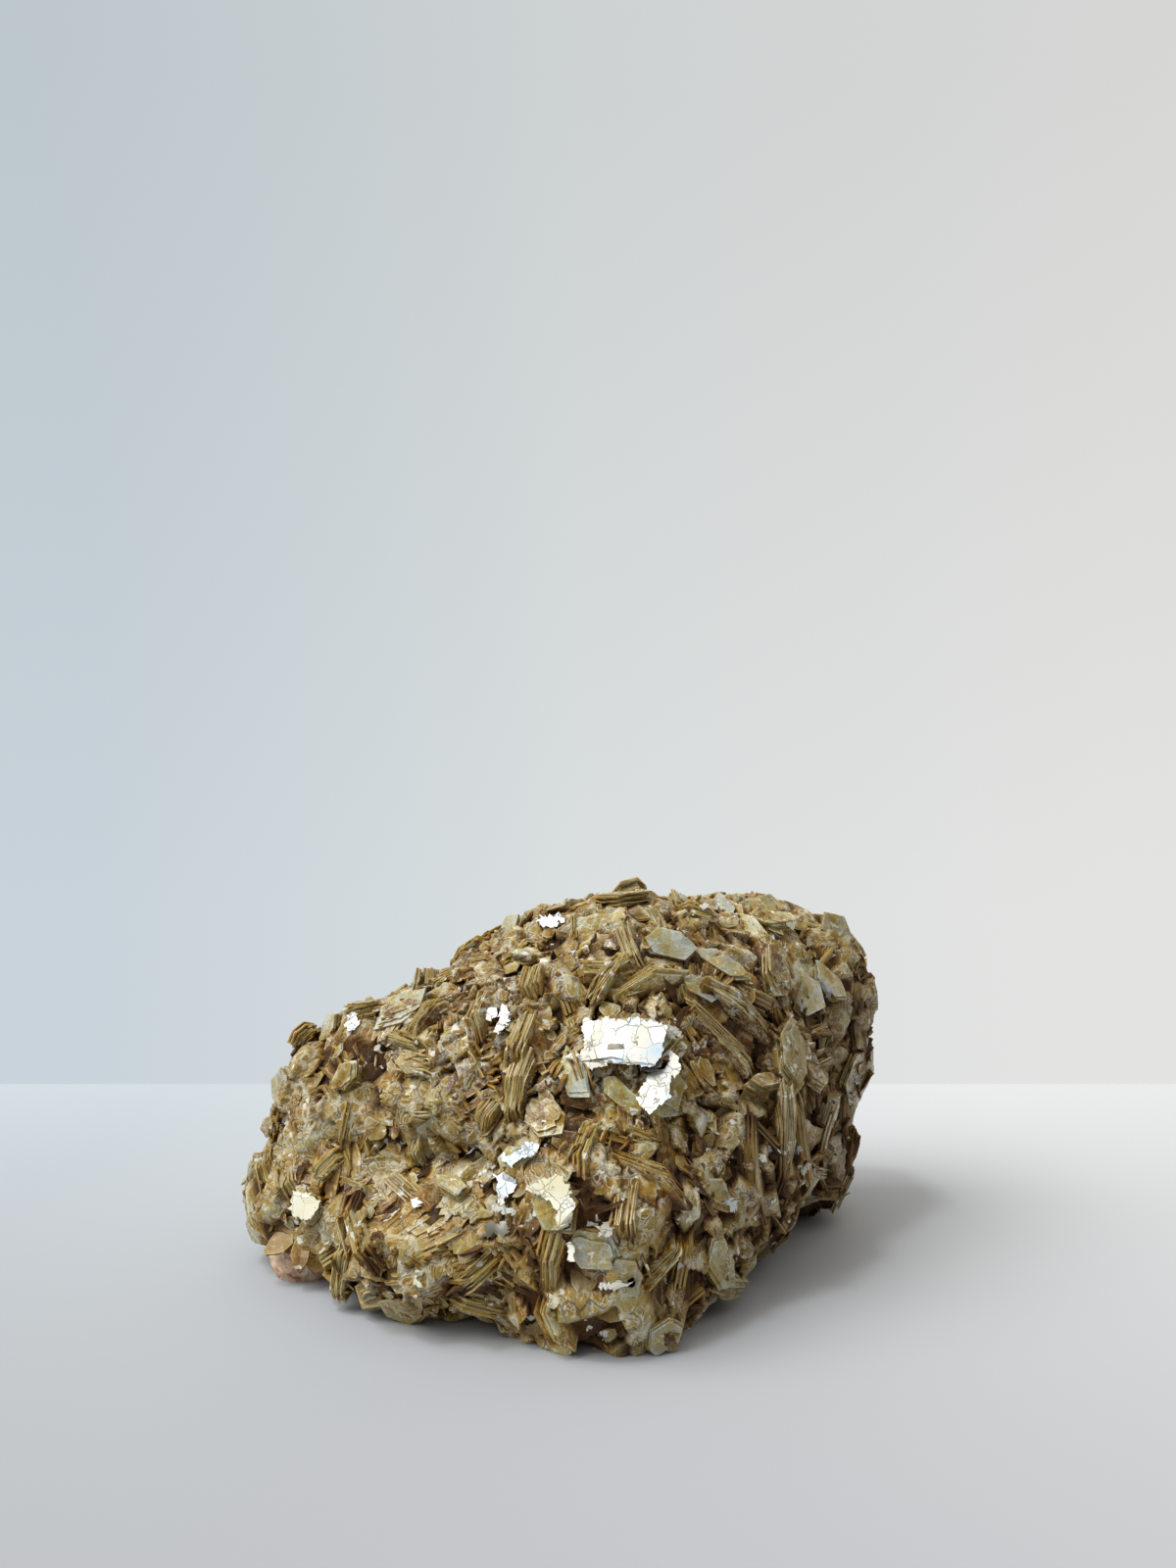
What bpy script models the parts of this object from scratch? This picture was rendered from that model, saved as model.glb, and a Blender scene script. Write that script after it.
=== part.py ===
"""A hand specimen of mica: a loaf-shaped mass of intergrown crystals with a grain of feldspar at its foot.

Row frame: +X along the specimen's length, -Y its broad front, +Z up, z = 0 the surface that it rests on.
Every length in this file is in millimetres until MM turns it into Blender's metres.
"""

import math
import random

import bmesh
import bpy
from mathutils import Matrix, Vector, noise
from mathutils.bvhtree import BVHTree

MM = 0.001

# --- Driving dimensions ---
# The mass is drawn out from HEART in every direction to the farthest of these lumps.
# (name, centre, half sizes along its own X, Y, Z, turn about Z in degrees)
HEART = Vector((0, 2, 20))
LUMPS = (
    ("middle", (1, 2, 20.5), (29, 23, 19), 10),
    ("crown", (6, 4, 29), (24, 18, 15.5), 8),
    ("back ridge", (22, 14, 29.5), (17, 13, 15), 10),
    ("left shoulder", (-23, 1, 17), (17, 16, 15), 0),
    ("left foot", (-30, -3, 7), (13, 12, 9), 0),
    ("front skirt", (-15, -16, 8), (15, 12, 8.6), -25),
    ("nose", (2, -16, 11.5), (14, 15.5, 12.5), -10),
    ("toe", (1, -22, 3.5), (11, 10, 6.5), -20),
    ("right flank", (17, -3, 15), (12, 17, 15), -25),
    ("right skirt", (11, -14, 5.5), (8, 12, 7), -30),
    ("right shoulder", (29, 14, 28), (11, 13, 14), 0),
    ("right waist", (26.5, 11, 18), (10, 11, 9), 0),
    ("right foot", (27, 13, 9), (10, 12, 11), 0),
)
BLEND = 2.0  # how far one lump's surface melts into the next
WEATHERING = 1.5  # depth of the hollows between crystals
WEATHERING_WAVELENGTH = 9.0
ROUNDNESS = 4  # icosphere subdivisions

# Books, which are stacks of mica sheets grown together, stand out of the mass all over.
# The largest, each where it sits on the mass. Heading is the way its length runs over the mass, in
# degrees from level (to the right) towards uphill. Turn is about that length: 0 shows the broad
# face, 90 an edge.
# (name, place, length, width, thickness, heading, turn, stands out)
LARGEST_BOOKS = (
    ("broad plate", (5.0, -17.8, 30.2), 10.6, 6.6, 2.0, 4, 0, 1.4),
    ("plate below it", (8.9, -19.0, 24.6), 7.6, 5.0, 2.0, 66, 0, 1.2),
    ("front plate", (-2.7, -28.4, 15.7), 6.6, 5.6, 2.0, -50, -8, 1.3),
    ("slanting plate", (-6.8, -22.3, 18.6), 5.4, 3.2, 1.6, 20, 8, 1.3),
    ("left plate", (-32.8, -14.3, 9.9), 5.0, 4.2, 1.8, -15, 5, 1.4),
    ("crown plate", (10.5, -9.2, 39.6), 8.0, 5.2, 2.0, -8, 10, 1.6),
    ("crown ledge", (1.5, -6.2, 42.0), 9.0, 5.0, 2.0, 5, 30, 1.6),
    ("crown bar", (3.5, -11.5, 37.4), 11.5, 3.6, 2.2, 3, 75, 1.3),
    ("crown splinter", (3.2, -11.9, 36.6), 11.0, 3.2, 1.8, 58, 80, 2.0),
    ("crown fan", (-6.0, -11.7, 36.4), 7.4, 4.4, 2.4, 98, 72, 1.8),
    ("shoulder blade", (-18.6, -9.7, 31.4), 8.2, 4.0, 2.4, 84, 78, 1.8),
    ("shoulder bar", (-18.9, -14.6, 26.2), 8.0, 3.6, 2.4, -2, 75, 1.6),
    ("shoulder fan", (-19.2, -16.5, 21.0), 7.0, 4.6, 2.2, 28, 60, 1.5),
    ("lens", (-28.6, -11.6, 24.4), 4.4, 3.6, 2.0, 60, 0, 1.3),
    ("middle blade", (-7.4, -20.2, 25.0), 9.4, 3.8, 2.4, 86, 76, 1.8),
    ("middle fan", (-11.0, -19.8, 21.2), 8.0, 4.0, 2.2, 74, 66, 1.5),
    ("second middle blade", (0.3, -22.4, 20.6), 7.4, 3.8, 2.4, 80, 70, 1.8),
    ("falling blade", (6.8, -23.6, 18.0), 11.0, 4.4, 2.4, -42, 64, 1.6),
    ("terrace", (1.2, -31.6, 11.4), 7.2, 4.8, 2.6, -8, 6, 1.2),
    ("terrace step", (4.2, -32.1, 8.6), 4.8, 4.6, 2.4, 2, 4, 1.0),
    ("nose blade", (-3.4, -31.4, 9.0), 8.6, 3.6, 2.4, 84, 74, 1.4),
    ("nose tip", (-3.0, -31.2, 3.2), 7.6, 4.4, 2.6, 112, 52, 1.8),
    ("skirt blade", (-15.5, -24.3, 10.4), 8.6, 4.2, 2.4, 24, 62, 1.4),
    ("skirt foot", (-22.8, -20.4, 2.8), 6.6, 4.6, 3.0, 62, 36, 2.6),
    ("skirt lobe", (-11.0, -26.6, 3.6), 8.4, 4.8, 2.8, -22, 50, 2.0),
    ("left fan", (-29.6, -15.4, 3.6), 8.2, 4.8, 2.8, 58, 50, 2.6),
    ("dark splinter", (16.4, -14.0, 29.0), 15.0, 3.8, 2.4, -52, 70, 1.7),
    ("second dark splinter", (18.6, -10.6, 31.2), 13.0, 3.2, 2.0, -47, 66, 1.9),
    ("long slab", (19.6, -18.0, 15.6), 16.5, 4.4, 2.2, 97, 44, 1.5),
    ("second long slab", (22.8, -14.6, 17.6), 15.0, 3.6, 2.0, 92, 62, 1.5),
    ("back slab", (25.9, -11.8, 17.4), 15.5, 3.2, 1.8, 88, 76, 1.4),
    ("right lobe", (33.6, 4.6, 17.0), 10.0, 6.0, 3.0, 84, 34, 1.6),
    ("right brow", (32.4, 3.0, 33.4), 7.0, 4.6, 2.2, 118, 20, 1.8),
    ("front right book", (11.4, -28.2, 8.6), 9.0, 5.0, 2.6, 64, 48, 1.3),
    ("toe book", (12.6, -27.6, 3.4), 7.6, 4.4, 2.8, 20, 54, 1.0),
    ("left brow", (-37.8, -4.2, 22.0), 6.8, 4.8, 2.6, 40, 30, 1.8),
    ("upper left brow", (-32.0, -2.0, 28.6), 6.0, 4.6, 2.6, 20, 34, 2.0),
    ("shoulder brow", (-23.6, 0.0, 35.0), 8.0, 5.4, 3.2, 25, 40, 3.0),
    ("crown brow", (-9.0, 2.0, 41.4), 7.6, 5.2, 2.8, 12, 36, 2.2),
    ("ridge brow", (14.0, 6.0, 45.0), 8.0, 5.4, 2.8, 8, 30, 2.0),
    ("back brow", (25.0, 9.0, 43.6), 8.0, 5.2, 2.8, -14, 36, 2.2),
    ("corner brow", (34.0, 10.0, 39.4), 7.4, 5.0, 2.8, -40, 34, 2.0),
)
SMALLER_BOOKS = 172
BOOK_LENGTH = (5.2, 10.5)
BOOK_SLENDERNESS = (0.42, 0.85)  # width over length
BOOK_THICKNESS = (1.3, 2.8)
BOOK_CORNERS = (5, 6, 6)
BOOK_STANDS_OUT = (0.8, 2.2)
BOOK_FAN = 0.25  # how much a book thickens towards one end
EDGE_ON = 0.62  # share of the books that show an edge
PARALLEL_OVER = 17.0  # books within about this distance lie much the same way
SPACING = 3.9  # closest that one book's middle comes to another's
SEED = 11

CENTRING = Vector((1.3, 2.4, 0))  # brings the middle of the specimen's box over the origin

FELDSPAR_AT = Vector((-34, -8.2, 2.4))
FELDSPAR_SIZE = (5.2, 5.8, 3.9)  # half sizes
FELDSPAR_CORNERS = 26
CLEARANCE = 0.4  # between the feldspar and the mica that grew round it
GROUND_SIZE = (120, 100, 20)


def reach(direction):
    """How far the mass extends from HEART in a direction, as a soft maximum over the lumps."""
    exits = []
    for _, centre, sizes, turn in LUMPS:
        turned = Matrix.Rotation(math.radians(-turn), 3, "Z")
        start = turned @ (HEART - Vector(centre))
        along = turned @ direction
        start = Vector(start[i] / sizes[i] for i in range(3))
        along = Vector(along[i] / sizes[i] for i in range(3))
        a = along.dot(along)
        b = along.dot(start)
        inside = b * b - a * (start.dot(start) - 1)
        if inside > 0:
            exits.append((-b + math.sqrt(inside)) / a)
    farthest = max(exits)
    return farthest + BLEND * math.log(sum(math.exp((e - farthest) / BLEND) for e in exits))


def surface_point(direction):
    """The weathered surface of the mass in a direction from HEART."""
    direction = direction.normalized()
    distance = reach(direction)
    spot = HEART + direction * distance
    distance += WEATHERING * noise.noise(spot / WEATHERING_WAVELENGTH)
    return HEART + direction * distance


def on_mass(mass, direction):
    """Where a line from HEART leaves the mass, and the outward normal there."""
    place, normal, _, _ = mass.ray_cast(HEART * MM, direction.normalized())
    return place / MM, normal if normal.dot(direction) > 0 else -normal


def outline(chance, length, width, corners):
    """A plate's outline, a hexagon or so that is drawn out along its length, with uneven corners."""
    points = []
    for i in range(corners):
        angle = 2 * math.pi * (i + chance.uniform(-0.2, 0.2)) / corners
        size = chance.uniform(0.9, 1.1)
        points.append((size * length / 2 * math.cos(angle), size * width / 2 * math.sin(angle)))
    return points


def add_book(mesh, chance, spot, normal, length, width, thickness, heading, turn, stands_out):
    """Adds one book to the mesh: a flat prism, thicker at one end, sunk into the mass at a spot."""
    level = Vector((0, 0, 1)).cross(normal).normalized()
    long_way = level * math.cos(heading) + normal.cross(level) * math.sin(heading)
    rise = chance.uniform(-0.22, 0.22)
    across = normal.cross(long_way)
    long_way = (long_way * math.cos(rise) + normal * math.sin(rise)).normalized()
    face = Matrix.Rotation(turn, 3, long_way) @ long_way.cross(across).normalized()
    if face.dot(normal) < 0:
        face = -face
    width_way = face.cross(long_way)
    depth = abs(width_way.dot(normal)) * width + abs(face.dot(normal)) * thickness
    centre = spot + normal * (stands_out - depth / 2)
    fan = chance.uniform(-BOOK_FAN, BOOK_FAN)
    corners = outline(chance, length, width, chance.choice(BOOK_CORNERS))
    layers = []
    for side in (-0.5, 0.5):
        shrink = chance.uniform(0.86, 1.0)
        ring = []
        for x, y in corners:
            height = side * thickness * (1 + fan * 2 * x / length)
            at = centre + (long_way * x + width_way * y) * shrink + face * height
            ring.append(mesh.verts.new(at * MM))
        layers.append(ring)
    below, above = layers
    count = len(corners)
    mesh.faces.new(list(reversed(below)))
    mesh.faces.new(above)
    for i in range(count):
        j = (i + 1) % count
        mesh.faces.new((below[i], below[j], above[j], above[i]))


def books_mesh():
    """Every book, the largest by their list and the smaller ones scattered between them."""
    mesh = bmesh.new()
    rock = mass_mesh()
    mass = BVHTree.FromBMesh(rock)
    facets = list(rock.faces)
    areas = [facet.calc_area() for facet in facets]
    chance = random.Random(SEED)
    taken = []
    for _, place, length, width, thickness, heading, turn, stands_out in LARGEST_BOOKS:
        spot, normal = on_mass(mass, Vector(place) - HEART)
        taken.append(spot)
        add_book(mesh, chance, spot, normal, length, width, thickness,
                 math.radians(heading), math.radians(turn), stands_out)
    while len(taken) < len(LARGEST_BOOKS) + SMALLER_BOOKS:
        facet = chance.choices(facets, areas)[0]
        corners = [vertex.co / MM for vertex in facet.verts]
        spot = corners[0].lerp(corners[1], chance.random()).lerp(corners[2], 1 - math.sqrt(chance.random()))
        normal = facet.normal.copy()
        if spot.z < 1.5 or min((spot - other).length for other in taken) < SPACING:
            continue
        if (spot - FELDSPAR_AT).length < 8:
            continue
        taken.append(spot)
        length = chance.uniform(*BOOK_LENGTH)
        width = length * chance.uniform(*BOOK_SLENDERNESS)
        heading = math.pi * (0.5 + 1.3 * noise.noise(spot / PARALLEL_OVER) + chance.uniform(-0.15, 0.15))
        if chance.random() < EDGE_ON:
            turn = chance.choice((-1, 1)) * chance.uniform(0.9, 1.5)
        else:
            turn = chance.uniform(-0.4, 0.4)
        add_book(mesh, chance, spot, normal, length, width,
                 chance.uniform(*BOOK_THICKNESS), heading, turn, chance.uniform(*BOOK_STANDS_OUT))
    bmesh.ops.recalc_face_normals(mesh, faces=mesh.faces)
    bmesh.ops.triangulate(mesh, faces=mesh.faces)
    return mesh


def mass_mesh():
    mesh = bmesh.new()
    bmesh.ops.create_icosphere(mesh, subdivisions=ROUNDNESS, radius=1)
    for vertex in mesh.verts:
        vertex.co = surface_point(vertex.co) * MM
    mesh.normal_update()
    return mesh


def feldspar_mesh(grown):
    """A blocky grain, the hull of points spread over an ellipsoid. Grown by this much all round."""
    mesh = bmesh.new()
    chance = random.Random(SEED)
    sizes = [half + grown for half in FELDSPAR_SIZE]
    for i in range(FELDSPAR_CORNERS):
        height = 1 - 2 * (i + 0.5) / FELDSPAR_CORNERS
        angle = i * 2.39996 + chance.uniform(-0.25, 0.25)
        ring = math.sqrt(1 - height * height)
        unit = (ring * math.cos(angle), ring * math.sin(angle), height)
        mesh.verts.new((FELDSPAR_AT + Vector(unit[k] * sizes[k] for k in range(3))) * MM)
    bmesh.ops.convex_hull(mesh, input=mesh.verts)
    return mesh


def ground_mesh():
    mesh = bmesh.new()
    bmesh.ops.create_cube(mesh, size=1)
    for vertex in mesh.verts:
        vertex.co = Vector(vertex.co[k] * GROUND_SIZE[k] for k in range(3)) * MM
        vertex.co.z -= GROUND_SIZE[2] / 2 * MM
    return mesh


def new_object(name, mesh):
    bmesh.ops.translate(mesh, verts=mesh.verts, vec=CENTRING * MM)
    data = bpy.data.meshes.new(name)
    mesh.to_mesh(data)
    mesh.free()
    made = bpy.data.objects.new(name, data)
    bpy.context.scene.collection.objects.link(made)
    return made


def combine(target, other, operation):
    """A Boolean of target with other, which is only a helper and so isn't rendered."""
    other.hide_render = True
    other.display_type = "WIRE"
    step = target.modifiers.new(other.name, "BOOLEAN")
    step.operation = operation
    step.solver = "EXACT"
    step.use_self = operation == "UNION"
    step.object = other


def finish(target, name, colour, roughness, metallic):
    made = bpy.data.materials.new(name)
    made.use_nodes = True
    shader = made.node_tree.nodes["Principled BSDF"]
    shader.inputs["Base Color"].default_value = (*colour, 1)
    shader.inputs["Roughness"].default_value = roughness
    shader.inputs["Metallic"].default_value = metallic
    target.data.materials.append(made)


for old in list(bpy.data.objects):
    bpy.data.objects.remove(old)

ground = new_object("ground", ground_mesh())

mica = new_object("mica_crystals", mass_mesh())
combine(mica, new_object("books", books_mesh()), "UNION")
combine(mica, ground, "DIFFERENCE")
combine(mica, new_object("feldspar_pocket", feldspar_mesh(CLEARANCE)), "DIFFERENCE")
finish(mica, "golden brown mica", (0.27, 0.19, 0.085), 0.38, 0.15)

feldspar = new_object("feldspar", feldspar_mesh(0))
combine(feldspar, ground, "DIFFERENCE")
finish(feldspar, "salmon feldspar", (0.6, 0.38, 0.27), 0.55, 0)
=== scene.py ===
"""A hand specimen of mica, a loaf-shaped mass of crystals that grew together, with one grain of feldspar.

Row frame: +X along the specimen's length, -Y its broad front, +Z up, z = 0 the surface that it rests on.
Lengths are in millimetres until MM turns them into Blender's metres.
"""

import math
import random

import bmesh
import bpy
import numpy as np
from mathutils import Matrix, Vector, noise
from mathutils.bvhtree import BVHTree
from mathutils.kdtree import KDTree


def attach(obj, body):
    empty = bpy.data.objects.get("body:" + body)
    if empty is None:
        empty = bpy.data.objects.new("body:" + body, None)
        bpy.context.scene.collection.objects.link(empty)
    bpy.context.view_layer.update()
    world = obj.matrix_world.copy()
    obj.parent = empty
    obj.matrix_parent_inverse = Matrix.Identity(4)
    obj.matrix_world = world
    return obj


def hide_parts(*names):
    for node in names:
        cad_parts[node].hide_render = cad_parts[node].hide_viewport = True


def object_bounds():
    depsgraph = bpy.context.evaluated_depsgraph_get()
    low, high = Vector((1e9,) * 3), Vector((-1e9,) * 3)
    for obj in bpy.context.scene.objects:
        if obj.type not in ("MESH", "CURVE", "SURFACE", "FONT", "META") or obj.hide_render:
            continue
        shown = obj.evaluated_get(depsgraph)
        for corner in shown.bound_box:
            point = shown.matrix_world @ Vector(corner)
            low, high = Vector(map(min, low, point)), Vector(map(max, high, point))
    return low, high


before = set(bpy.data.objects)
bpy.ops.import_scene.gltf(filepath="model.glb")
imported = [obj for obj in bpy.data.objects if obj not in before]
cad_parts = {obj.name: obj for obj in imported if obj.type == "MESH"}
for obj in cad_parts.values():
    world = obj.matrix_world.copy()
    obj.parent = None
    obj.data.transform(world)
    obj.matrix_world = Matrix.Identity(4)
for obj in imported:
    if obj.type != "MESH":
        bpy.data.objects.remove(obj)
bounds_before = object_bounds()

# ------------------------------------------------------------------------------------------------
# The mass. Crystals grew outwards from a common heart until they met, so no hollow is left inside.
# Each shows where it happens to be cut: as fine amber lines on edge, or as a clear pale plate.

MM = 0.001
CENTRING = Vector((1.3, 2.4, 0))  # brings the middle of the specimen's box over the origin
HEART = Vector((0, 2, 20))
LUMPS = (  # (name, centre, half sizes along its own X, Y, Z, turn about Z in degrees)
    ("middle", (1, 2, 20.5), (29, 23, 19), 10),
    ("crown", (6, 4, 29), (24, 18, 15.5), 8),
    ("back ridge", (22, 14, 29.5), (17, 13, 15), 10),
    ("left shoulder", (-23, 1, 17), (17, 16, 15), 0),
    ("left foot", (-30, -3, 7), (13, 12, 9), 0),
    ("front skirt", (-15, -16, 8), (15, 12, 8.6), -25),
    ("nose", (2, -16, 11.5), (14, 15.5, 12.5), -10),
    ("toe", (1, -22, 3.5), (11, 10, 6.5), -20),
    ("right flank", (17, -3, 15), (12, 17, 15), -25),
    ("right skirt", (11, -14, 5.5), (8, 12, 7), -30),
    ("right shoulder", (29, 14, 28), (11, 13, 14), 0),
    ("right waist", (26.5, 11, 18), (10, 11, 9), 0),
    ("right foot", (27, 13, 9), (10, 12, 11), 0),
)
SEED = 11
BLEND = 2.0
WEATHERING = 1.5
WEATHERING_WAVELENGTH = 9.0
ROUNDNESS = 4  # icosphere subdivisions of the solid
FINE_ROUNDNESS = 6  # and of what shows, whose every edge is then cut in three
FINE_RELIEF = 0.08
FINE_WAVELENGTH = 0.9
CRYSTALS = 1150  # that show in the mass itself
CRYSTAL_TILT = 0.4
CRYSTAL_STEP = 0.3
CREVICE_DEPTH = 0.7
CREVICE_WIDTH = 0.22
ASTRAY = (Vector((9.3, -1.5, -7.9)), Vector((0, 0, 0)), Vector((6.3, 0.2, -2.7)))  # one noise for each way
ASTRAY_WAVELENGTH = 1.3
MOST_ASTRAY = 0.7  # that a border between crystals strays

FELDSPAR_AT = Vector((-34, -8.2, 2.4))
FELDSPAR_SIZE = (5.2, 5.8, 3.9)
POCKET = 0.4  # clearance round the feldspar

box_low = bounds_before[0] / MM
box_high = bounds_before[1] / MM


def reach(direction):
    """How far the mass extends from HEART in a direction, as a soft maximum over the lumps."""
    exits = []
    for _, centre, sizes, turn in LUMPS:
        turned = Matrix.Rotation(math.radians(-turn), 3, "Z")
        start = turned @ (HEART - Vector(centre))
        along = turned @ direction
        start = Vector(start[i] / sizes[i] for i in range(3))
        along = Vector(along[i] / sizes[i] for i in range(3))
        a = along.dot(along)
        b = along.dot(start)
        inside = b * b - a * (start.dot(start) - 1)
        if inside > 0:
            exits.append((-b + math.sqrt(inside)) / a)
    farthest = max(exits)
    return farthest + BLEND * math.log(sum(math.exp((e - farthest) / BLEND) for e in exits))


def surface_point(direction):
    """The weathered surface of the mass in a direction from HEART."""
    direction = direction.normalized()
    distance = reach(direction)
    spot = HEART + direction * distance
    distance += WEATHERING * noise.noise(spot / WEATHERING_WAVELENGTH)
    return HEART + direction * distance


def mass_mesh():
    mesh = bmesh.new()
    bmesh.ops.create_icosphere(mesh, subdivisions=ROUNDNESS, radius=1)
    for vertex in mesh.verts:
        vertex.co = surface_point(vertex.co) * MM
    mesh.normal_update()
    return mesh


def on_mass(direction):
    """Where a line from HEART leaves the mass, and the outward normal there."""
    place, normal, _, _ = mass.ray_cast(HEART * MM, direction.normalized())
    return place / MM, normal if normal.dot(direction) > 0 else -normal


room_low = np.array(box_low - CENTRING) + (0.02, 0.02, 0)  # the solid's own box, which every piece stays in
room_high = np.array(box_high - CENTRING) - 0.02


def placed(name, data):
    """An object in the scene."""
    made = bpy.data.objects.new(name, data)
    bpy.context.scene.collection.objects.link(made)
    return made


def new_piece(name, points, corners, sizes, material):
    """A mesh of the specimen, from points in millimetres, faces' corners end to end, and their counts."""
    data = bpy.data.meshes.new(name)
    kept_in = (np.clip(points, room_low, room_high) + np.array(CENTRING)) * MM
    data.vertices.add(len(points))
    data.vertices.foreach_set("co", kept_in.astype(np.float32).ravel())
    data.loops.add(len(corners))
    data.loops.foreach_set("vertex_index", np.asarray(corners, np.int32))
    data.polygons.add(len(sizes))
    data.polygons.foreach_set("loop_start", np.concatenate([[0], np.cumsum(sizes)[:-1]]).astype(np.int32))
    data.update(calc_edges=True)
    data.shade_flat()
    data.materials.append(material)
    made = placed(name, data)
    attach(made, "root")
    return made


def carry(piece, key, values, domain="POINT"):
    """Stores a number or a vector of each point or face, which the material reads by its name."""
    values = np.asarray(values, np.float32)
    kind, field = ("FLOAT_VECTOR", "vector") if values.ndim == 2 else ("FLOAT", "value")
    piece.data.attributes.new(key, kind, domain).data.foreach_set(field, values.ravel())


def fill(node, **inputs):
    """Gives a node's inputs their values, each named as on the node, with _ for a space, or _ and its number."""
    for key, value in inputs.items():
        socket = node.inputs[int(key[1:])] if key[1:].isdigit() else node.inputs[key.replace("_", " ")]
        if isinstance(value, Value):
            value.tree.links.new(value.socket, socket)
        else:
            socket.default_value = value


class Value:
    """A number, vector or colour in a shader. Each sum and method adds a node, and gives what comes out."""

    def __init__(self, tree, kind, settings=None, output=0, **inputs):
        node = tree.nodes.new("ShaderNode" + kind)
        for key, value in (settings or {}).items():
            setattr(node, key, value)
        fill(node, **inputs)
        self.tree = tree
        self.socket = node.outputs[output]
        self.wide = self.socket.type != "VALUE"

    def node(self, kind, settings=None, output=0, **inputs):
        return Value(self.tree, kind, settings, output, **inputs)

    def math(self, operation, *others, clamp=False):
        """Arithmetic on numbers or, where one of the values is a vector, on vectors."""
        values = [self, *others]
        if any(value.wide if isinstance(value, Value) else isinstance(value, tuple) for value in values):
            values = [(value,) * 3 if isinstance(value, float) else value for value in values]
            kind, settings = "VectorMath", {"operation": operation}
        else:
            kind, settings = "Math", {"operation": operation, "use_clamp": clamp}
        return self.node(kind, settings, **{f"_{number}": value for number, value in enumerate(values)})

    def __add__(self, other):
        return self.math("ADD", other)

    def __sub__(self, other):
        return self.math("SUBTRACT", other)

    def __mul__(self, other):
        return self.math("MULTIPLY", other)

    def dot(self, other):
        return self.node("VectorMath", {"operation": "DOT_PRODUCT"}, "Value", _0=self, _1=other)

    def part(self, axis):
        """Its X, Y or Z, as 0, 1 or 2."""
        return self.node("SeparateXYZ", None, axis, _0=self)

    def fade(self, start, end, low=0.0, high=1.0, kind="SMOOTHSTEP"):
        """Goes from low to high as this goes from start to end."""
        return self.node("MapRange", {"interpolation_type": kind}, Value=self, From_Min=start, From_Max=end,
                         To_Min=low, To_Max=high)

    def ramp(self, stops):
        """A colour for this number, over (position, colour) stops."""
        made = self.node("ValToRGB", _0=self)
        bands = made.socket.node.color_ramp.elements
        while len(bands) < len(stops):
            bands.new(0.5)
        for band, (position, colour) in zip(bands, stops):
            band.position = position
            band.color = (*colour, 1)
        return made

    def towards(self, other, factor, blend="MIX"):
        """This number or colour, turned into another by a factor from 0 to 1."""
        if not self.wide:
            return self.node("Mix", {"data_type": "FLOAT"}, _0=factor, _2=self, _3=other)
        other = (*other, 1) if isinstance(other, tuple) else other
        return self.node("Mix", {"data_type": "RGBA", "blend_type": blend}, 2, _0=factor, _6=self, _7=other)

    def cloudy(self, scale, detail=4.0, roughness=0.6, output=0):
        return self.node("TexNoise", None, output, Vector=self, Scale=scale, Detail=detail,
                         Roughness=roughness)

    def chips(self, scale, distance="EUCLIDEAN"):
        """A random colour for each of many cells at this place."""
        return self.node("TexVoronoi", {"distance": distance}, "Color", Vector=self, Scale=scale)

    def borders(self, scale):
        """How far this place is from the nearest border between cells."""
        return self.node("TexVoronoi", {"feature": "DISTANCE_TO_EDGE"}, "Distance", Vector=self, Scale=scale)

    def carried(self, key, output="Fac"):
        """What the mesh carries under this name."""
        return self.node("Attribute", {"attribute_name": key}, output)


def new_finish(name):
    """A material, its shader, and the place on the specimen that it colours."""
    made = bpy.data.materials.new(name)
    made.use_nodes = True
    tree = made.node_tree
    return made, tree.nodes["Principled BSDF"], Value(tree, "TexCoord", output="Object")


def lined(depth):
    """Lines of random strength and width, where depth is in millimetres."""
    return depth.node("TexNoise", {"noise_dimensions": "1D"}, W=depth * LINES_PER_MM, Scale=1.0, Detail=3.0,
                      Roughness=0.7)


def leaning(place, scale, much):
    """The surface's direction, leaning a little another way from chip to chip."""
    lean = place.chips(scale) * much - much / 2
    return (place.node("NewGeometry", None, "Normal") + lean).math("NORMALIZE")


def with_painted_shade(place, colour, outward):
    """The colour, greyer on the lower right, with painted shade: darker there and low down, less dark on the
    left, and darker and browner where it sinks in; and how far it sinks.
    """
    right, height = place.part(0), place.part(2)
    greyer_and_shaded = right.fade(TAUPE_FROM, TAUPE_TO) * height.fade(TAUPE_TOP, TAUPE_UNDER)
    colour = place.node("HueSaturation", Saturation=TAUPE_SATURATION, Value=TAUPE_SHADE_VALUE, Fac=greyer_and_shaded,
                        Color=colour)
    outward = outward - greyer_and_shaded * TAUPE_SHADE_SINK - height.fade(*LOW_DOWN) * LOW_SHADE_SINK
    outward += right.fade(*LIT_SIDE, 0.0, LIT_RISE)
    colour = colour.towards(PAINTED_AMBER_SHADE, outward.fade(0.60, -0.30), "MULTIPLY")
    sunk = outward.fade(0.20, -0.95)
    return colour.towards(PAINTED_SHADE_COLOUR, sunk, "MULTIPLY"), sunk


def painted_glints(place, colour):
    """The colour with painted glints: a few tiny silvery spots in it, in swarms, for sparkles of light."""
    swarm = place.cloudy(240.0, 3.0) * 0.9 + place.chips(1500.0, "CHEBYCHEV").part(0)
    return colour.towards(PAINTED_GLINT_COLOUR, swarm.fade(1.44, 1.47, 0.0, 0.8))


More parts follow.
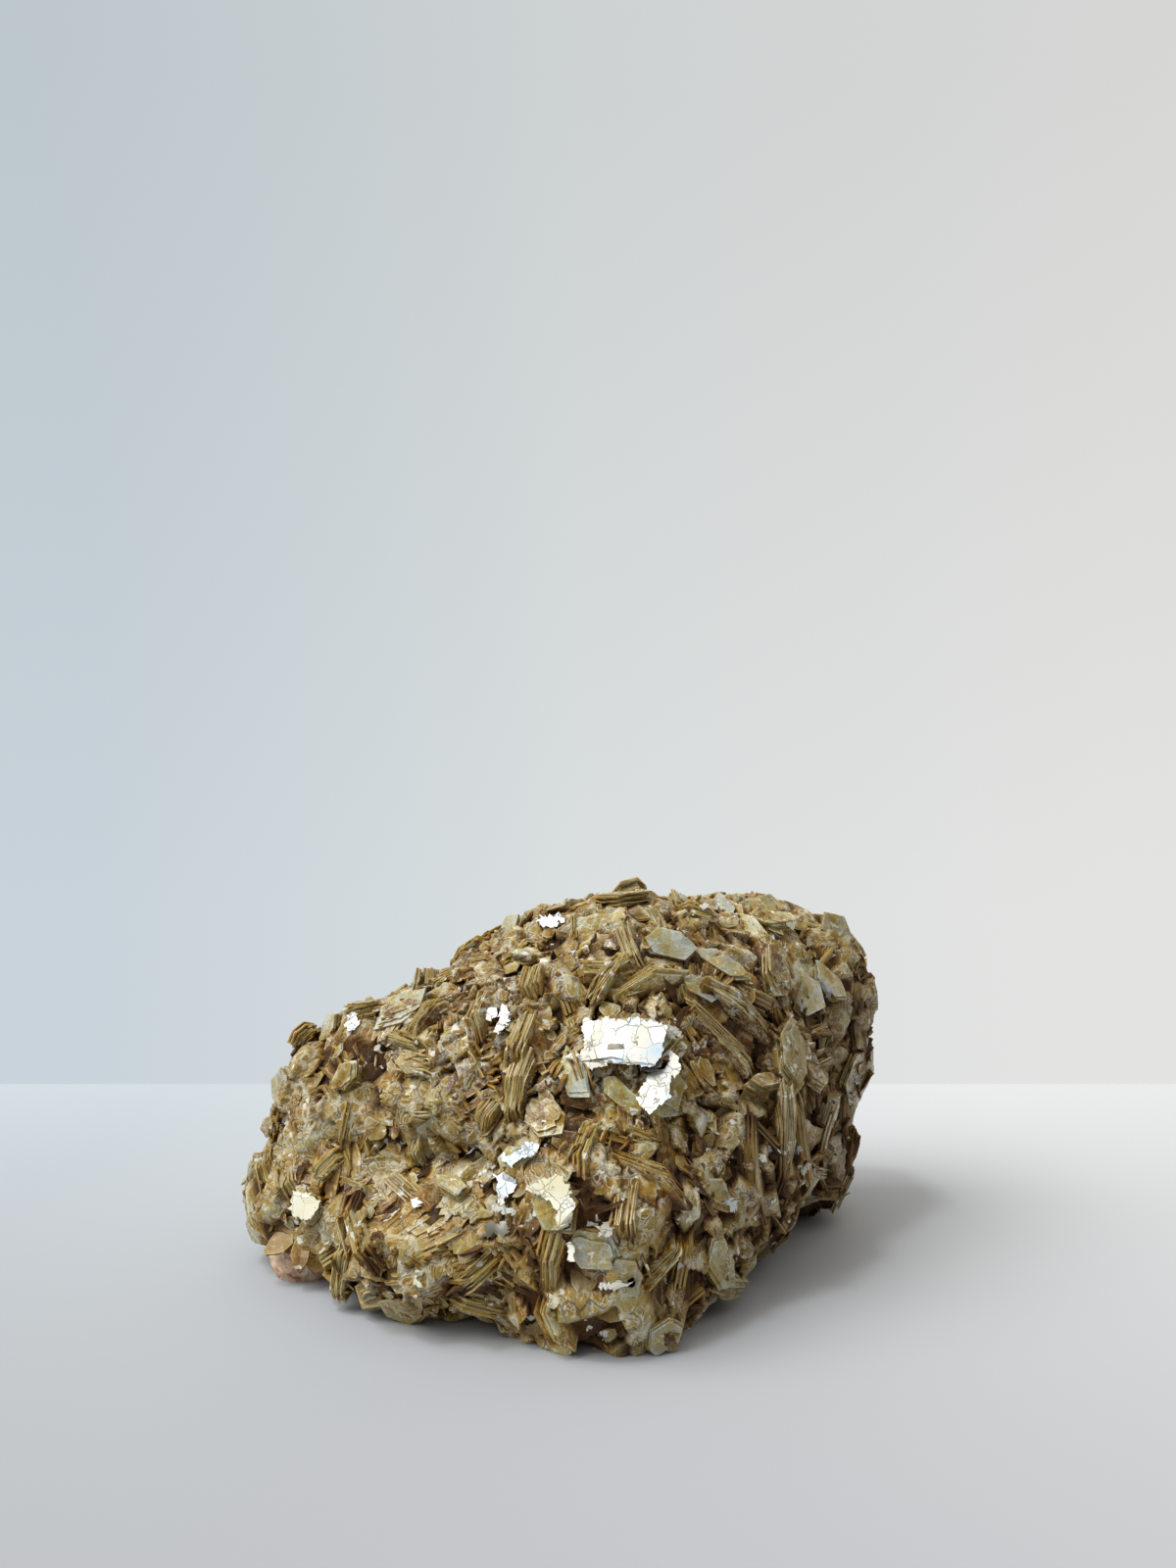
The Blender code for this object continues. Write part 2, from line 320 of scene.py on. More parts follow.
FACE_COLOURS = (  # from amber crystals to nearly clear ones
    (0.0, (0.14, 0.062, 0.010)),
    (0.2, (0.31, 0.178, 0.024)),
    (0.40, (0.43, 0.305, 0.066)),
    (0.58, (0.49, 0.392, 0.138)),
    (0.78, (0.53, 0.476, 0.300)),
    (1.0, (0.68, 0.680, 0.600)),
)
EDGE_COLOURS = (  # across the lines on the edge of a stack
    (0.30, (0.10, 0.042, 0.008)),
    (0.42, (0.25, 0.138, 0.020)),
    (0.54, (0.42, 0.300, 0.076)),
    (0.68, (0.72, 0.665, 0.440)),
)
# Painted highlight: the colour of the pale lines on wrinkles, rims and crystal borders, where they catch the
# light.
HIGHLIGHT_LINE_COLOUR = (0.82, 0.82, 0.69)
# Painted glints: the colour of tiny sparkles of light.
PAINTED_GLINT_COLOUR = (0.95, 0.92, 0.83)
PAINTED_AMBER_SHADE = (1.0, 0.80, 0.53)  # painted shade, amber as light come through the mica, over what lies between the outermost crystals
PAINTED_SHADE_COLOUR = (0.16, 0.104, 0.058)  # and painted shade over what is sunk deepest, and in crevices
# A greyer tone, darkened with painted shade, on the lower right, the side away from the window:
TAUPE_SATURATION, TAUPE_SHADE_VALUE = 0.85, 0.86
TAUPE_SHADE_SINK = 0.5
LOW_SHADE_SINK = 0.3  # more painted shade low down, between these heights
LOW_DOWN = (0.026, 0.010)
LIT_SIDE, LIT_RISE = (0.0, -0.020), 0.2  # and less painted shade on the left, which faces the window
TAUPE_FROM, TAUPE_TO = 0.008, 0.030  # how far along the specimen, in metres, the colour turns greyer and takes painted shade
TAUPE_TOP, TAUPE_UNDER = 0.038, 0.031  # and how high up it turns back
LINES_PER_MM = 5.0
MICA_IOR = 1.58
GLOW = (1.0, 0.62, 0.22)  # how far red, green and blue light spread inside, against each other


def grown_finish(name):
    """Crystals grown together. Each shows its cleavage sheets as lines on edge, or as a clear plate."""
    made, shader, place = new_finish(name)
    bent = place + place.cloudy(500.0, 3.0, 0.6, "Color") * (1.3 * MM)
    cells = bent.chips(620.0)
    borders = bent.borders(620.0)
    lean = cells * 0.7 - 0.35
    cleavage = (place.carried("cleavage", "Vector") + lean).math("NORMALIZE")
    square = cleavage.dot(place.node("NewGeometry", None, "Normal"))
    face_on = square.math("ABSOLUTE").fade(0.62, 0.86)
    cloud = place.cloudy(420.0)
    patchy = place.cloudy(500.0, 2.0).fade(0.36, 0.56)
    lines = lined(place.dot(cleavage) * (1 / MM) + cloud * 2.2)

    shade = cloud * 1.6 - 1.20 + place.cloudy(2300.0, 4.0, 0.7) * 0.22 + cells.part(0) * 0.4
    plate = shade.math("ADD", place.carried("tint"), clamp=True).ramp(FACE_COLOURS)
    edge = lines.ramp(EDGE_COLOURS).towards(plate, 0.2)
    folded = place.cloudy(560.0, 3.0).math("PINGPONG", 0.12).fade(0.036, 0.0, 0.0, 0.8) * patchy
    # Painted highlight on the plates' wrinkles and along the crystals' borders.
    colour = edge.towards(plate.towards(HIGHLIGHT_LINE_COLOUR, folded), face_on)
    colour = colour.towards(HIGHLIGHT_LINE_COLOUR, borders.fade(0.16, 0.09) * patchy * 0.5)
    # Painted shade in the crevices between crystals, at their borders and where the mesh carries a gap.
    crevice_shade = borders.fade(0.09, 0.03) * cloud.fade(0.58, 0.42) * 0.7
    crevice_shade = crevice_shade.math("MAXIMUM", place.carried("gap"))
    colour = colour.towards(PAINTED_SHADE_COLOUR, crevice_shade, "MULTIPLY")
    colour, sunk = with_painted_shade(place, colour, place.carried("outward"))

    tilted = leaning(place, 2100.0, 0.25) + cleavage * (square.math("SIGN") * face_on * 0.9) + lean * 0.45
    relief = lines.towards(folded, face_on) - crevice_shade
    fill(shader, Base_Color=painted_glints(bent, colour), IOR=MICA_IOR, Specular_IOR_Level=0.25,
         Roughness=cloud.fade(0.35, 0.65, 0.20, 0.48) + sunk.fade(0.0, 0.8, 0.0, 0.5) - face_on * 0.15,
         Subsurface_Weight=0.4, Subsurface_Radius=GLOW, Subsurface_Scale=0.7 * MM,
         Normal=place.node("Bump", Height=relief, Strength=0.5, Distance=0.12 * MM,
                           Normal=tilted.math("NORMALIZE")))
    return made


def tints_at(spots):
    """The colour of crystals: amber to nearly clear, in drifts, and more amber at the upper left."""
    drift = np.array([noise.noise(Vector(spot) / 8.0 + Vector((31, 7, 3))) for spot in spots])
    browner = np.clip((spots[:, 2] - 20) / 8, 0, 1) * np.clip((6 - spots[:, 0]) / 12, 0, 1)
    return np.clip(0.42 - 0.30 * browner + 0.55 * drift + chance.normal(0, 0.2, len(spots)), 0, 1)


def unit(ways):
    return ways / np.linalg.norm(ways, axis=-1, keepdims=True)


def headings_at(spots):
    """The way that crystals run: in swirls over the mass, but steep on its right-hand side."""
    swirl = np.array([noise.noise(Vector(spot) / 11.0) for spot in spots])
    steep = np.clip((spots[:, 0] - 12) / 8, 0, 1) * np.clip((20 - spots[:, 1]) / 15, 0, 1)
    return np.pi * (0.5 + 1.7 * swirl * (1 - 0.75 * steep))


rock = mass_mesh()
mass = BVHTree.FromBMesh(rock)
chance = np.random.default_rng(SEED)

fine = bmesh.new()
bmesh.ops.create_icosphere(fine, subdivisions=FINE_ROUNDNESS, radius=1)
bmesh.ops.subdivide_edges(fine, edges=fine.edges[:], cuts=2, use_grid_fill=True)
bmesh.ops.triangulate(fine, faces=fine.faces[:])
found = [on_mass(vertex.co) for vertex in fine.verts]
smooth_points = np.array([place for place, _ in found])
ways_out = unit(smooth_points - np.array(HEART))
chosen = chance.choice(len(smooth_points), CRYSTALS, replace=False)
middles = smooth_points[chosen]
upright = unit(np.array([normal for _, normal in found])[chosen])
level = unit(np.cross((0, 0, 1), upright))
headings = (headings_at(middles) + chance.normal(0, 0.5, CRYSTALS))[:, None]
run = level * np.cos(headings) + np.cross(upright, level) * np.sin(headings)
turns = chance.uniform(0, np.pi, CRYSTALS)[:, None]
cleavages = upright * np.cos(turns) + np.cross(upright, run) * np.sin(turns)
cleavages = unit(cleavages + chance.normal(0, 0.12, (CRYSTALS, 3)))
nearby = KDTree(CRYSTALS)
for number, middle in enumerate(middles):
    nearby.insert(middle, number)
nearby.balance()
owner, border = [], []
for spot in smooth_points:
    spot = Vector(spot)
    astray = Vector(noise.noise(spot / ASTRAY_WAVELENGTH + shift) for shift in ASTRAY)
    (_, first, near), (_, _, far) = nearby.find_n(spot + astray * MOST_ASTRAY, 2)
    owner.append(first)
    border.append(far - near)
owner, border = np.array(owner), np.array(border)
tilts = chance.normal(0, CRYSTAL_TILT, (CRYSTALS, 3))
lifts = chance.normal(0, CRYSTAL_STEP, CRYSTALS)
raised = np.clip(((smooth_points - middles[owner]) * tilts[owner]).sum(axis=1) + lifts[owner], -0.9, 0.9)
crumble = np.array([noise.noise(Vector(spot) / FINE_WAVELENGTH)
                    + 0.6 * noise.noise(Vector(spot) / (FINE_WAVELENGTH * 0.4)) for spot in smooth_points])
open_crack = np.clip(np.array([noise.noise(Vector(spot) / 3.1) for spot in smooth_points]) * 3 + 0.5, 0, 1)
gap = np.exp(-border / CREVICE_WIDTH) * open_crack
raised += FINE_RELIEF * crumble - CREVICE_DEPTH * gap
mass_points = smooth_points + ways_out * raised[:, None]
for number, spot in enumerate(mass_points):
    while (((spot - np.array(FELDSPAR_AT)) / (np.array(FELDSPAR_SIZE) + POCKET)) ** 2).sum() < 1:
        spot -= ways_out[number] * 0.15
mass_corners = [vertex.index for face in fine.faces for vertex in face.verts]
grown = grown_finish("grown mica")
grown_mass = new_piece("grown_mass", mass_points, mass_corners, [3] * len(fine.faces), grown)
face_owner = owner[np.array(mass_corners).reshape(-1, 3)[:, 0]]
carry(grown_mass, "cleavage", cleavages[face_owner], "FACE")
carry(grown_mass, "tint", tints_at(middles)[face_owner], "FACE")
# how far each point stands out, from which the material paints shade where it sinks in
carry(grown_mass, "outward", raised * 1.5 + 0.1)
# how deep each crevice is, which the material darkens as painted shade
carry(grown_mass, "gap", np.clip(gap * 1.3, 0, 1))
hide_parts("mica_crystals")
fine.free()

# ------------------------------------------------------------------------------------------------
# The bright faces. A few leaves lie square to the light. They are the same mica, but so flat and
# fresh that they shine like silvered glass, with hairline cracks and torn edges. Their near-white,
# bluish and cream colours are painted reflection of the window, over the shine that the light gives them.

EYE = Vector((1.8, -151.6, 60)) * MM  # where the specimen is looked at from
KEY_WAY = Vector((-0.62, -0.14, 0.77)).normalized()  # towards the window
# SILVER, CREAM, BUTTER and BLUISH are pale colours of painted reflection of the window.
SILVER = ((0.36, (0.47, 0.57, 0.67)), (0.47, (0.60, 0.61, 0.61)), (0.62, (0.65, 0.63, 0.56)))
CREAM = ((0.36, (0.92, 0.91, 0.83)), (0.48, (0.92, 0.90, 0.78)), (0.62, (0.88, 0.84, 0.63)))
BUTTER = ((0.36, (0.70, 0.72, 0.70)), (0.48, (0.66, 0.66, 0.58)), (0.62, (0.61, 0.58, 0.42)))
BLUISH = ((0.36, (0.62, 0.71, 0.82)), (0.50, (0.80, 0.84, 0.88)), (0.62, (0.90, 0.90, 0.90)))
GLASSY = ((0.36, (0.10, 0.095, 0.07)), (0.50, (0.24, 0.23, 0.19)), (0.62, (0.55, 0.55, 0.51)))
BRIGHT_FACES = (  # (place, finish, outline seen from EYE in mm, x to the right and y up)
    ((4.7, -17.8, 29.8), SILVER, (
        (-4.6, 2.9), (-3.7, 2.5), (-2.6, 2.6), (-1.7, 3.0), (-1.1, 2.6), (-0.1, 2.5), (0.8, 3.0), (1.7, 2.9),
        (2.5, 2.5), (3.4, 2.4), (4.6, 2.2), (5.0, 1.7), (4.7, 0.8), (4.4, 0.0), (4.6, -0.8), (4.2, -1.5),
        (3.5, -2.5), (2.3, -2.7), (1.7, -2.3), (0.6, -2.4), (-0.1, -2.2), (-1.2, -1.7), (-1.7, -2.2),
        (-2.2, -2.7), (-3.1, -2.8), (-3.7, -3.0), (-4.3, -2.4), (-5.0, -1.8), (-4.9, -1.1), (-4.5, -0.4),
        (-4.4, 0.6), (-4.7, 1.7))),
    ((8.9, -19.0, 24.7), SILVER, (
        (1.3, 3.5), (2.0, 3.0), (2.5, 2.0), (2.4, 0.9), (1.7, 0.5), (1.5, 1.1), (1.3, 0.0), (1.2, -0.9),
        (1.4, -1.7), (0.9, -2.0), (0.0, -2.7), (-1.0, -3.5), (-1.7, -3.0), (-2.5, -2.0), (-2.1, -0.9),
        (-1.5, 0.0), (-1.0, 0.9), (-0.7, 1.5), (0.0, 1.3), (1.0, 1.7), (1.4, 2.4), (0.8, 3.2))),
    ((-3.3, -28.4, 15.4), BUTTER, (
        (-2.7, 1.3), (-1.4, 1.9), (-0.4, 2.3), (0.3, 2.5), (1.0, 2.8), (1.3, 2.2), (2.0, 1.4), (2.1, 0.5),
        (2.7, -0.3), (2.4, -0.9), (2.3, -1.9), (2.1, -2.6), (1.5, -2.8), (0.8, -2.4), (0.7, -1.7), (0.6, -0.7),
        (0.3, -0.3), (-0.6, 0.3), (-1.6, 0.8))),
    ((-6.9, -22.3, 18.6), BLUISH, (
        (-2.0, -0.1), (-1.6, 0.0), (-1.3, -0.3), (0.1, 0.4), (0.6, 1.1), (1.3, 1.3), (2.0, 0.8), (1.9, 0.2),
        (1.2, -0.4), (0.1, -0.7), (-0.9, -1.3), (-1.8, -0.8))),
    ((-8.3, -23.3, 15.0), BLUISH, (
        (-1.2, 1.6), (-0.1, 1.6), (-0.1, 0.7), (1.2, 0.5), (0.9, -0.2), (-0.1, -0.9), (0.0, -1.6), (-0.9, -1.4),
        (-0.8, -0.7), (-1.1, 0.5))),
    ((-8.4, -24.3, 13.1), GLASSY, ((-0.9, 0.5), (0.3, 0.4), (1.3, -0.5), (-1.3, -0.3))),
    ((-10.8, -15.0, 32.7), SILVER, (
        (-0.7, 0.0), (-0.1, 0.8), (0.6, 0.6), (0.7, -0.2), (0.2, -0.8), (-0.5, -0.7))),
    ((-9.5, -15.0, 32.0), SILVER, (
        (-0.2, 1.5), (0.4, 1.7), (0.9, 1.1), (0.7, 0.0), (0.5, -0.9), (-0.5, -1.7), (-0.9, -1.0), (-0.5, -0.1))),
    ((10.4, -16.5, 30.5), GLASSY, (
        (-0.6, 0.8), (0.4, 0.5), (1.1, -0.5), (0.2, -0.6), (-0.5, -0.7), (-1.1, -0.8))),
    ((-1.0, -18.0, 28.7), GLASSY, ((0.0, 0.6), (0.7, -0.4), (0.0, -0.6), (-0.7, -0.6), (-0.5, 0.1))),
    ((8.0, -18.4, 26.7), GLASSY, (
        (-1.6, 0.2), (-0.6, -0.3), (-0.2, 0.4), (1.0, 0.8), (1.6, 0.4), (0.8, -0.3), (-0.6, -0.8), (-1.4, -0.5))),
    ((-4.5, -27.4, 17.7), GLASSY, (
        (0.1, 0.2), (1.0, 0.7), (1.3, 0.5), (0.6, -0.1), (-0.9, -0.7), (-1.3, -0.5))),
    ((-32.8, -14.3, 9.9), CREAM, (
        (-1.3, 1.7), (-0.4, 1.4), (0.4, 1.6), (0.8, 0.9), (1.7, 0.6), (1.7, 0.1), (1.3, -0.8), (0.5, -1.6),
        (-0.5, -1.2), (-1.3, -0.8), (-1.8, -0.1), (-1.4, 0.4))),
    ((-18.4, -24.8, 5.9), CREAM, (
        (-1.1, 0.5), (-0.7, 0.9), (-0.1, 0.6), (0.6, 0.8), (1.0, 0.3), (0.5, 0.0), (0.8, -0.7), (0.2, -0.9),
        (-0.4, -0.5), (-1.0, -0.4))),
    ((-3.0, -31.4, 6.1), CREAM, (
        (0.6, 0.9), (0.5, 0.1), (0.1, -0.8), (-0.3, -0.9), (-0.8, -0.3), (-0.2, 0.6))),
    ((-29.2, -3.8, 29.1), SILVER, (
        (-0.3, -1.2), (-1.0, -0.6), (-0.7, 0.5), (0.0, 1.2), (0.9, 1.4), (0.6, 0.4), (0.9, -0.3), (0.2, -0.9))),
    ((-4.0, -3.5, 42.1), BLUISH, (
        (-1.7, 0.2), (-1.0, 0.8), (0.2, 0.7), (1.1, 0.8), (1.6, 0.1), (0.6, -0.3), (0.0, -0.8), (-1.0, -0.6))),
    ((32.1, 2.8, 32.9), SILVER, (
        (-1.1, 1.5), (-0.2, 1.5), (0.7, 0.8), (1.1, -0.3), (0.9, -1.6), (0.5, -0.7), (0.1, 0.2), (-0.5, 0.9))),
    ((16.4, -21.0, 12.4), SILVER, (
        (-0.7, 0.1), (0.0, 0.8), (0.6, 0.4), (0.8, -0.6), (0.3, -0.9), (0.0, -0.2))),
    ((15.8, 1.0, 43.6), SILVER, ((-0.6, 0.2), (0.0, 0.4), (0.7, 0.1), (0.4, -0.4), (-0.4, -0.3))),
    ((28.0, 6.0, 40.8), CREAM, ((-0.5, 0.6), (0.3, 0.7), (0.6, 0.0), (0.2, -0.7), (-0.4, -0.3))),
    ((-12.3, -24.0, 19.5), SILVER, ((-0.4, 0.2), (0.3, 0.3), (0.4, -0.2), (-0.2, -0.3))),
    ((3.6, -31.8, 8.0), CREAM, (
        (-1.9, 0.1), (-1.2, 0.4), (-0.5, 0.1), (0.2, 0.5), (1.0, 0.2), (1.7, 0.7), (2.0, 0.1), (1.7, -0.4),
        (0.8, -0.2), (0.0, -0.5), (-0.9, -0.3), (-1.7, -0.5))),
    ((2.2, -31.0, 12.9), SILVER, (
        (-1.0, 0.3), (-0.2, 0.8), (0.7, 1.1), (1.0, 0.3), (0.5, -0.1), (0.6, -0.9), (-0.2, -0.5))),
    ((-1.0, -31.0, 11.1), CREAM, ((-0.3, 0.9), (0.3, 0.8), (0.5, -0.2), (0.2, -0.9), (-0.3, -0.7))),
    ((-18.4, -24.0, 13.5), SILVER, ((-0.5, 0.3), (0.1, 0.6), (0.5, 0.2), (0.3, -0.5), (-0.3, -0.3))),
    ((-9.0, -27.0, 11.9), GLASSY, (
        (-1.4, 0.2), (-0.6, 0.8), (0.5, 0.6), (1.3, 0.1), (0.9, -0.6), (-0.3, -0.5), (-1.0, -0.7))),
)
CRACK_COLOUR = (0.14, 0.12, 0.09)
FURTHER_OUT = {0: -0.25, 1: 1.7, 10: 1.7}  # these would lie in the shadow of the first one
SPECK = (  # the corners of a clear patch in the first face
    (-1.85, -0.725), (0.05, -0.6275), (0.05, -0.075), (-1.85, -0.14))
SPECK_THICKNESS = 0.04
SPECK_STANDS_OUT = 0.05
BRIGHT_SPACING = 0.22  # of the corners on a rim
TORN, MOST_TORN = 0.5, 0.9  # how far they stray, against that, on a broad face and on a small one
BROAD = 2.0  # how far a broad face reaches from its middle
WORTH_CLEARING = 1.3  # and one that nothing may hide
BRIGHT_THICKNESS = 0.14
BRIGHT_STANDS_OUT = (0.4, 0.6)
MOST_SLANT = math.radians(42)  # of a bright face to the eye
LEAST_LIT = 0.72  # how square each must be to the light, for which it may turn off its crystal
FIRST_LEAST_LIT = 0.67  # and the first one, which is to leave the others in the light
MOST_TURN = 30  # degrees

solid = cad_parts["mica_crystals"].data
solid_points = np.empty(len(solid.vertices) * 3, np.float32)
solid.vertices.foreach_get("co", solid_points)
solid_points = solid_points.reshape(-1, 3).astype(float) / MM - np.array(CENTRING)
solid.calc_loop_triangles()
solid_faces = np.empty(len(solid.loop_triangles) * 3, np.int32)
solid.loop_triangles.foreach_get("vertices", solid_faces)
solid_faces = solid_faces.reshape(-1, 3)
crystals = BVHTree.FromPolygons([Vector(p) for p in solid_points], solid_faces.tolist())
eye = EYE / MM - CENTRING


def around(outline, count):
    """The outline's points resampled to this many, evenly round it."""
    ring = np.array([*outline, outline[0]])
    walked = np.concatenate([[0], np.cumsum(np.hypot(*np.diff(ring, axis=0).T))])
    at = np.arange(count) / count * walked[-1]
    return np.stack([np.interp(at, walked, ring[:, k]) for k in range(2)], axis=1)


def bright_finish(name, stops):
    """Silvery mica with hairline cracks, in these colours from patch to patch, whose pale ones are painted
    reflection.
    """
    made, shader, place = new_finish(name)
    bent = place + place.cloudy(420.0, 3.0, 0.5, "Color") * (1.8 * MM)
    broken = bent.borders(430.0).fade(0.028, 0.0) * place.cloudy(380.0, 3.0).fade(0.60, 0.44, 0.35)
    folded = place.cloudy(480.0, 3.0).math("PINGPONG", 0.14).fade(0.03, 0.0)
    folded *= place.cloudy(620.0, 2.0, 0.5).fade(0.42, 0.62, kind="LINEAR")
    cracked = broken.math("MAXIMUM", folded)
    colour = place.cloudy(230.0, 2.0, 0.5).ramp(stops)
    fill(shader, Base_Color=colour.towards(CRACK_COLOUR, cracked * 0.8), Metallic=0.6, Roughness=0.48,
         Normal=place.node("Bump", {"invert": True}, Height=cracked, Strength=0.5, Distance=0.05 * MM,
                           Normal=leaning(bent, 430.0, 0.1)))
    return made


FINISHES = {"silvery mica": SILVER, "creamy mica": CREAM, "buttery mica": BUTTER, "bluish mica": BLUISH,
            "glassy mica": GLASSY}
bright_finishes = {stops: bright_finish(name, stops) for name, stops in FINISHES.items()}


def bright_piece(name, outline, on_plane, thickness, material, ragged):
    """A thin flat plate of this outline, ragged where on_plane turns it into places of the specimen."""
    rim = np.linalg.norm(np.diff(np.array([*outline, outline[0]]), axis=0), axis=1).sum()
    ring = around(outline, max(8, round(rim / BRIGHT_SPACING)))
    ring += chance.normal(0, ragged * BRIGHT_SPACING, ring.shape)
    count = len(ring)
    points = [on_plane(x, y, 0) for x, y in ring] + [on_plane(x, y, -thickness) for x, y in ring]
    corners = list(range(count))[::-1] + list(range(count, 2 * count))
    for i in range(count):
        j = (i + 1) % count
        corners += [i, j, count + j, count + i]
    sizes = [count, count] + [4] * count
    return new_piece(name, np.array(points), corners, sizes, material)


kept_clear = []  # (middle, radius, way to the eye, right, up, outline, facing) of each bright face
for number, (place, stops, outline) in enumerate(BRIGHT_FACES):
    way = (Vector(place) - eye).normalized()
    middle, facing, _, _ = crystals.ray_cast(eye, way)
    if middle is None:
        middle, facing, _, _ = crystals.find_nearest(Vector(place))
    facing = facing if facing.dot(way) < 0 else -facing
    slant = facing.angle(-way)
    if slant > MOST_SLANT:
        facing = (-way).slerp(facing, MOST_SLANT / slant)
    for _ in range(MOST_TURN):
        if facing.dot(KEY_WAY) < (LEAST_LIT if number else FIRST_LEAST_LIT):
            facing = facing.slerp(KEY_WAY, math.radians(1) / facing.angle(KEY_WAY))
    right = way.cross(Vector((0, 0, 1))).normalized()
    up = right.cross(way)

    def on_plane(x, y, lift):
        """Where the sight line beside this face's middle meets its plane."""
        towards = (middle + right * x + up * y - eye).normalized()
        return eye + towards * ((middle + facing * lift - eye).dot(facing) / towards.dot(facing))

    heights = []
    for share in (0.3, 0.65, 0.95):
        for x, y in around(outline, 14) * share:
            hit, _, _, _ = crystals.ray_cast(eye, (middle + right * x + up * y - eye).normalized())
            if hit is not None:
                heights.append((hit - middle).dot(facing))
    clear = float(np.clip(np.percentile(heights, 88), 0, BRIGHT_STANDS_OUT[1]))
    middle = middle + facing * (BRIGHT_STANDS_OUT[0] + clear + FURTHER_OUT.get(number, 0))
    radius = max(math.hypot(*p) for p in outline)
    torn_by = TORN if radius > BROAD else MOST_TORN
    bright_piece(f"bright_face_{number + 1}", outline, on_plane, BRIGHT_THICKNESS, bright_finishes[stops],
                 torn_by)
    if radius > WORTH_CLEARING:
        kept_clear.append((middle, radius, way, right, up, around(outline, 24), facing))
    if number == 0:
        middle = middle + facing * SPECK_STANDS_OUT
        bright_piece("clear_speck", SPECK, on_plane, SPECK_THICKNESS, bright_finishes[GLASSY], 0.1)

# ------------------------------------------------------------------------------------------------
# The large books. Each is a stack of thin cleavage sheets, all parallel, that grew out of the mass.
# The sheets' broad faces are glassy to pearly, and the stack's cut edges are amber and finely lined.

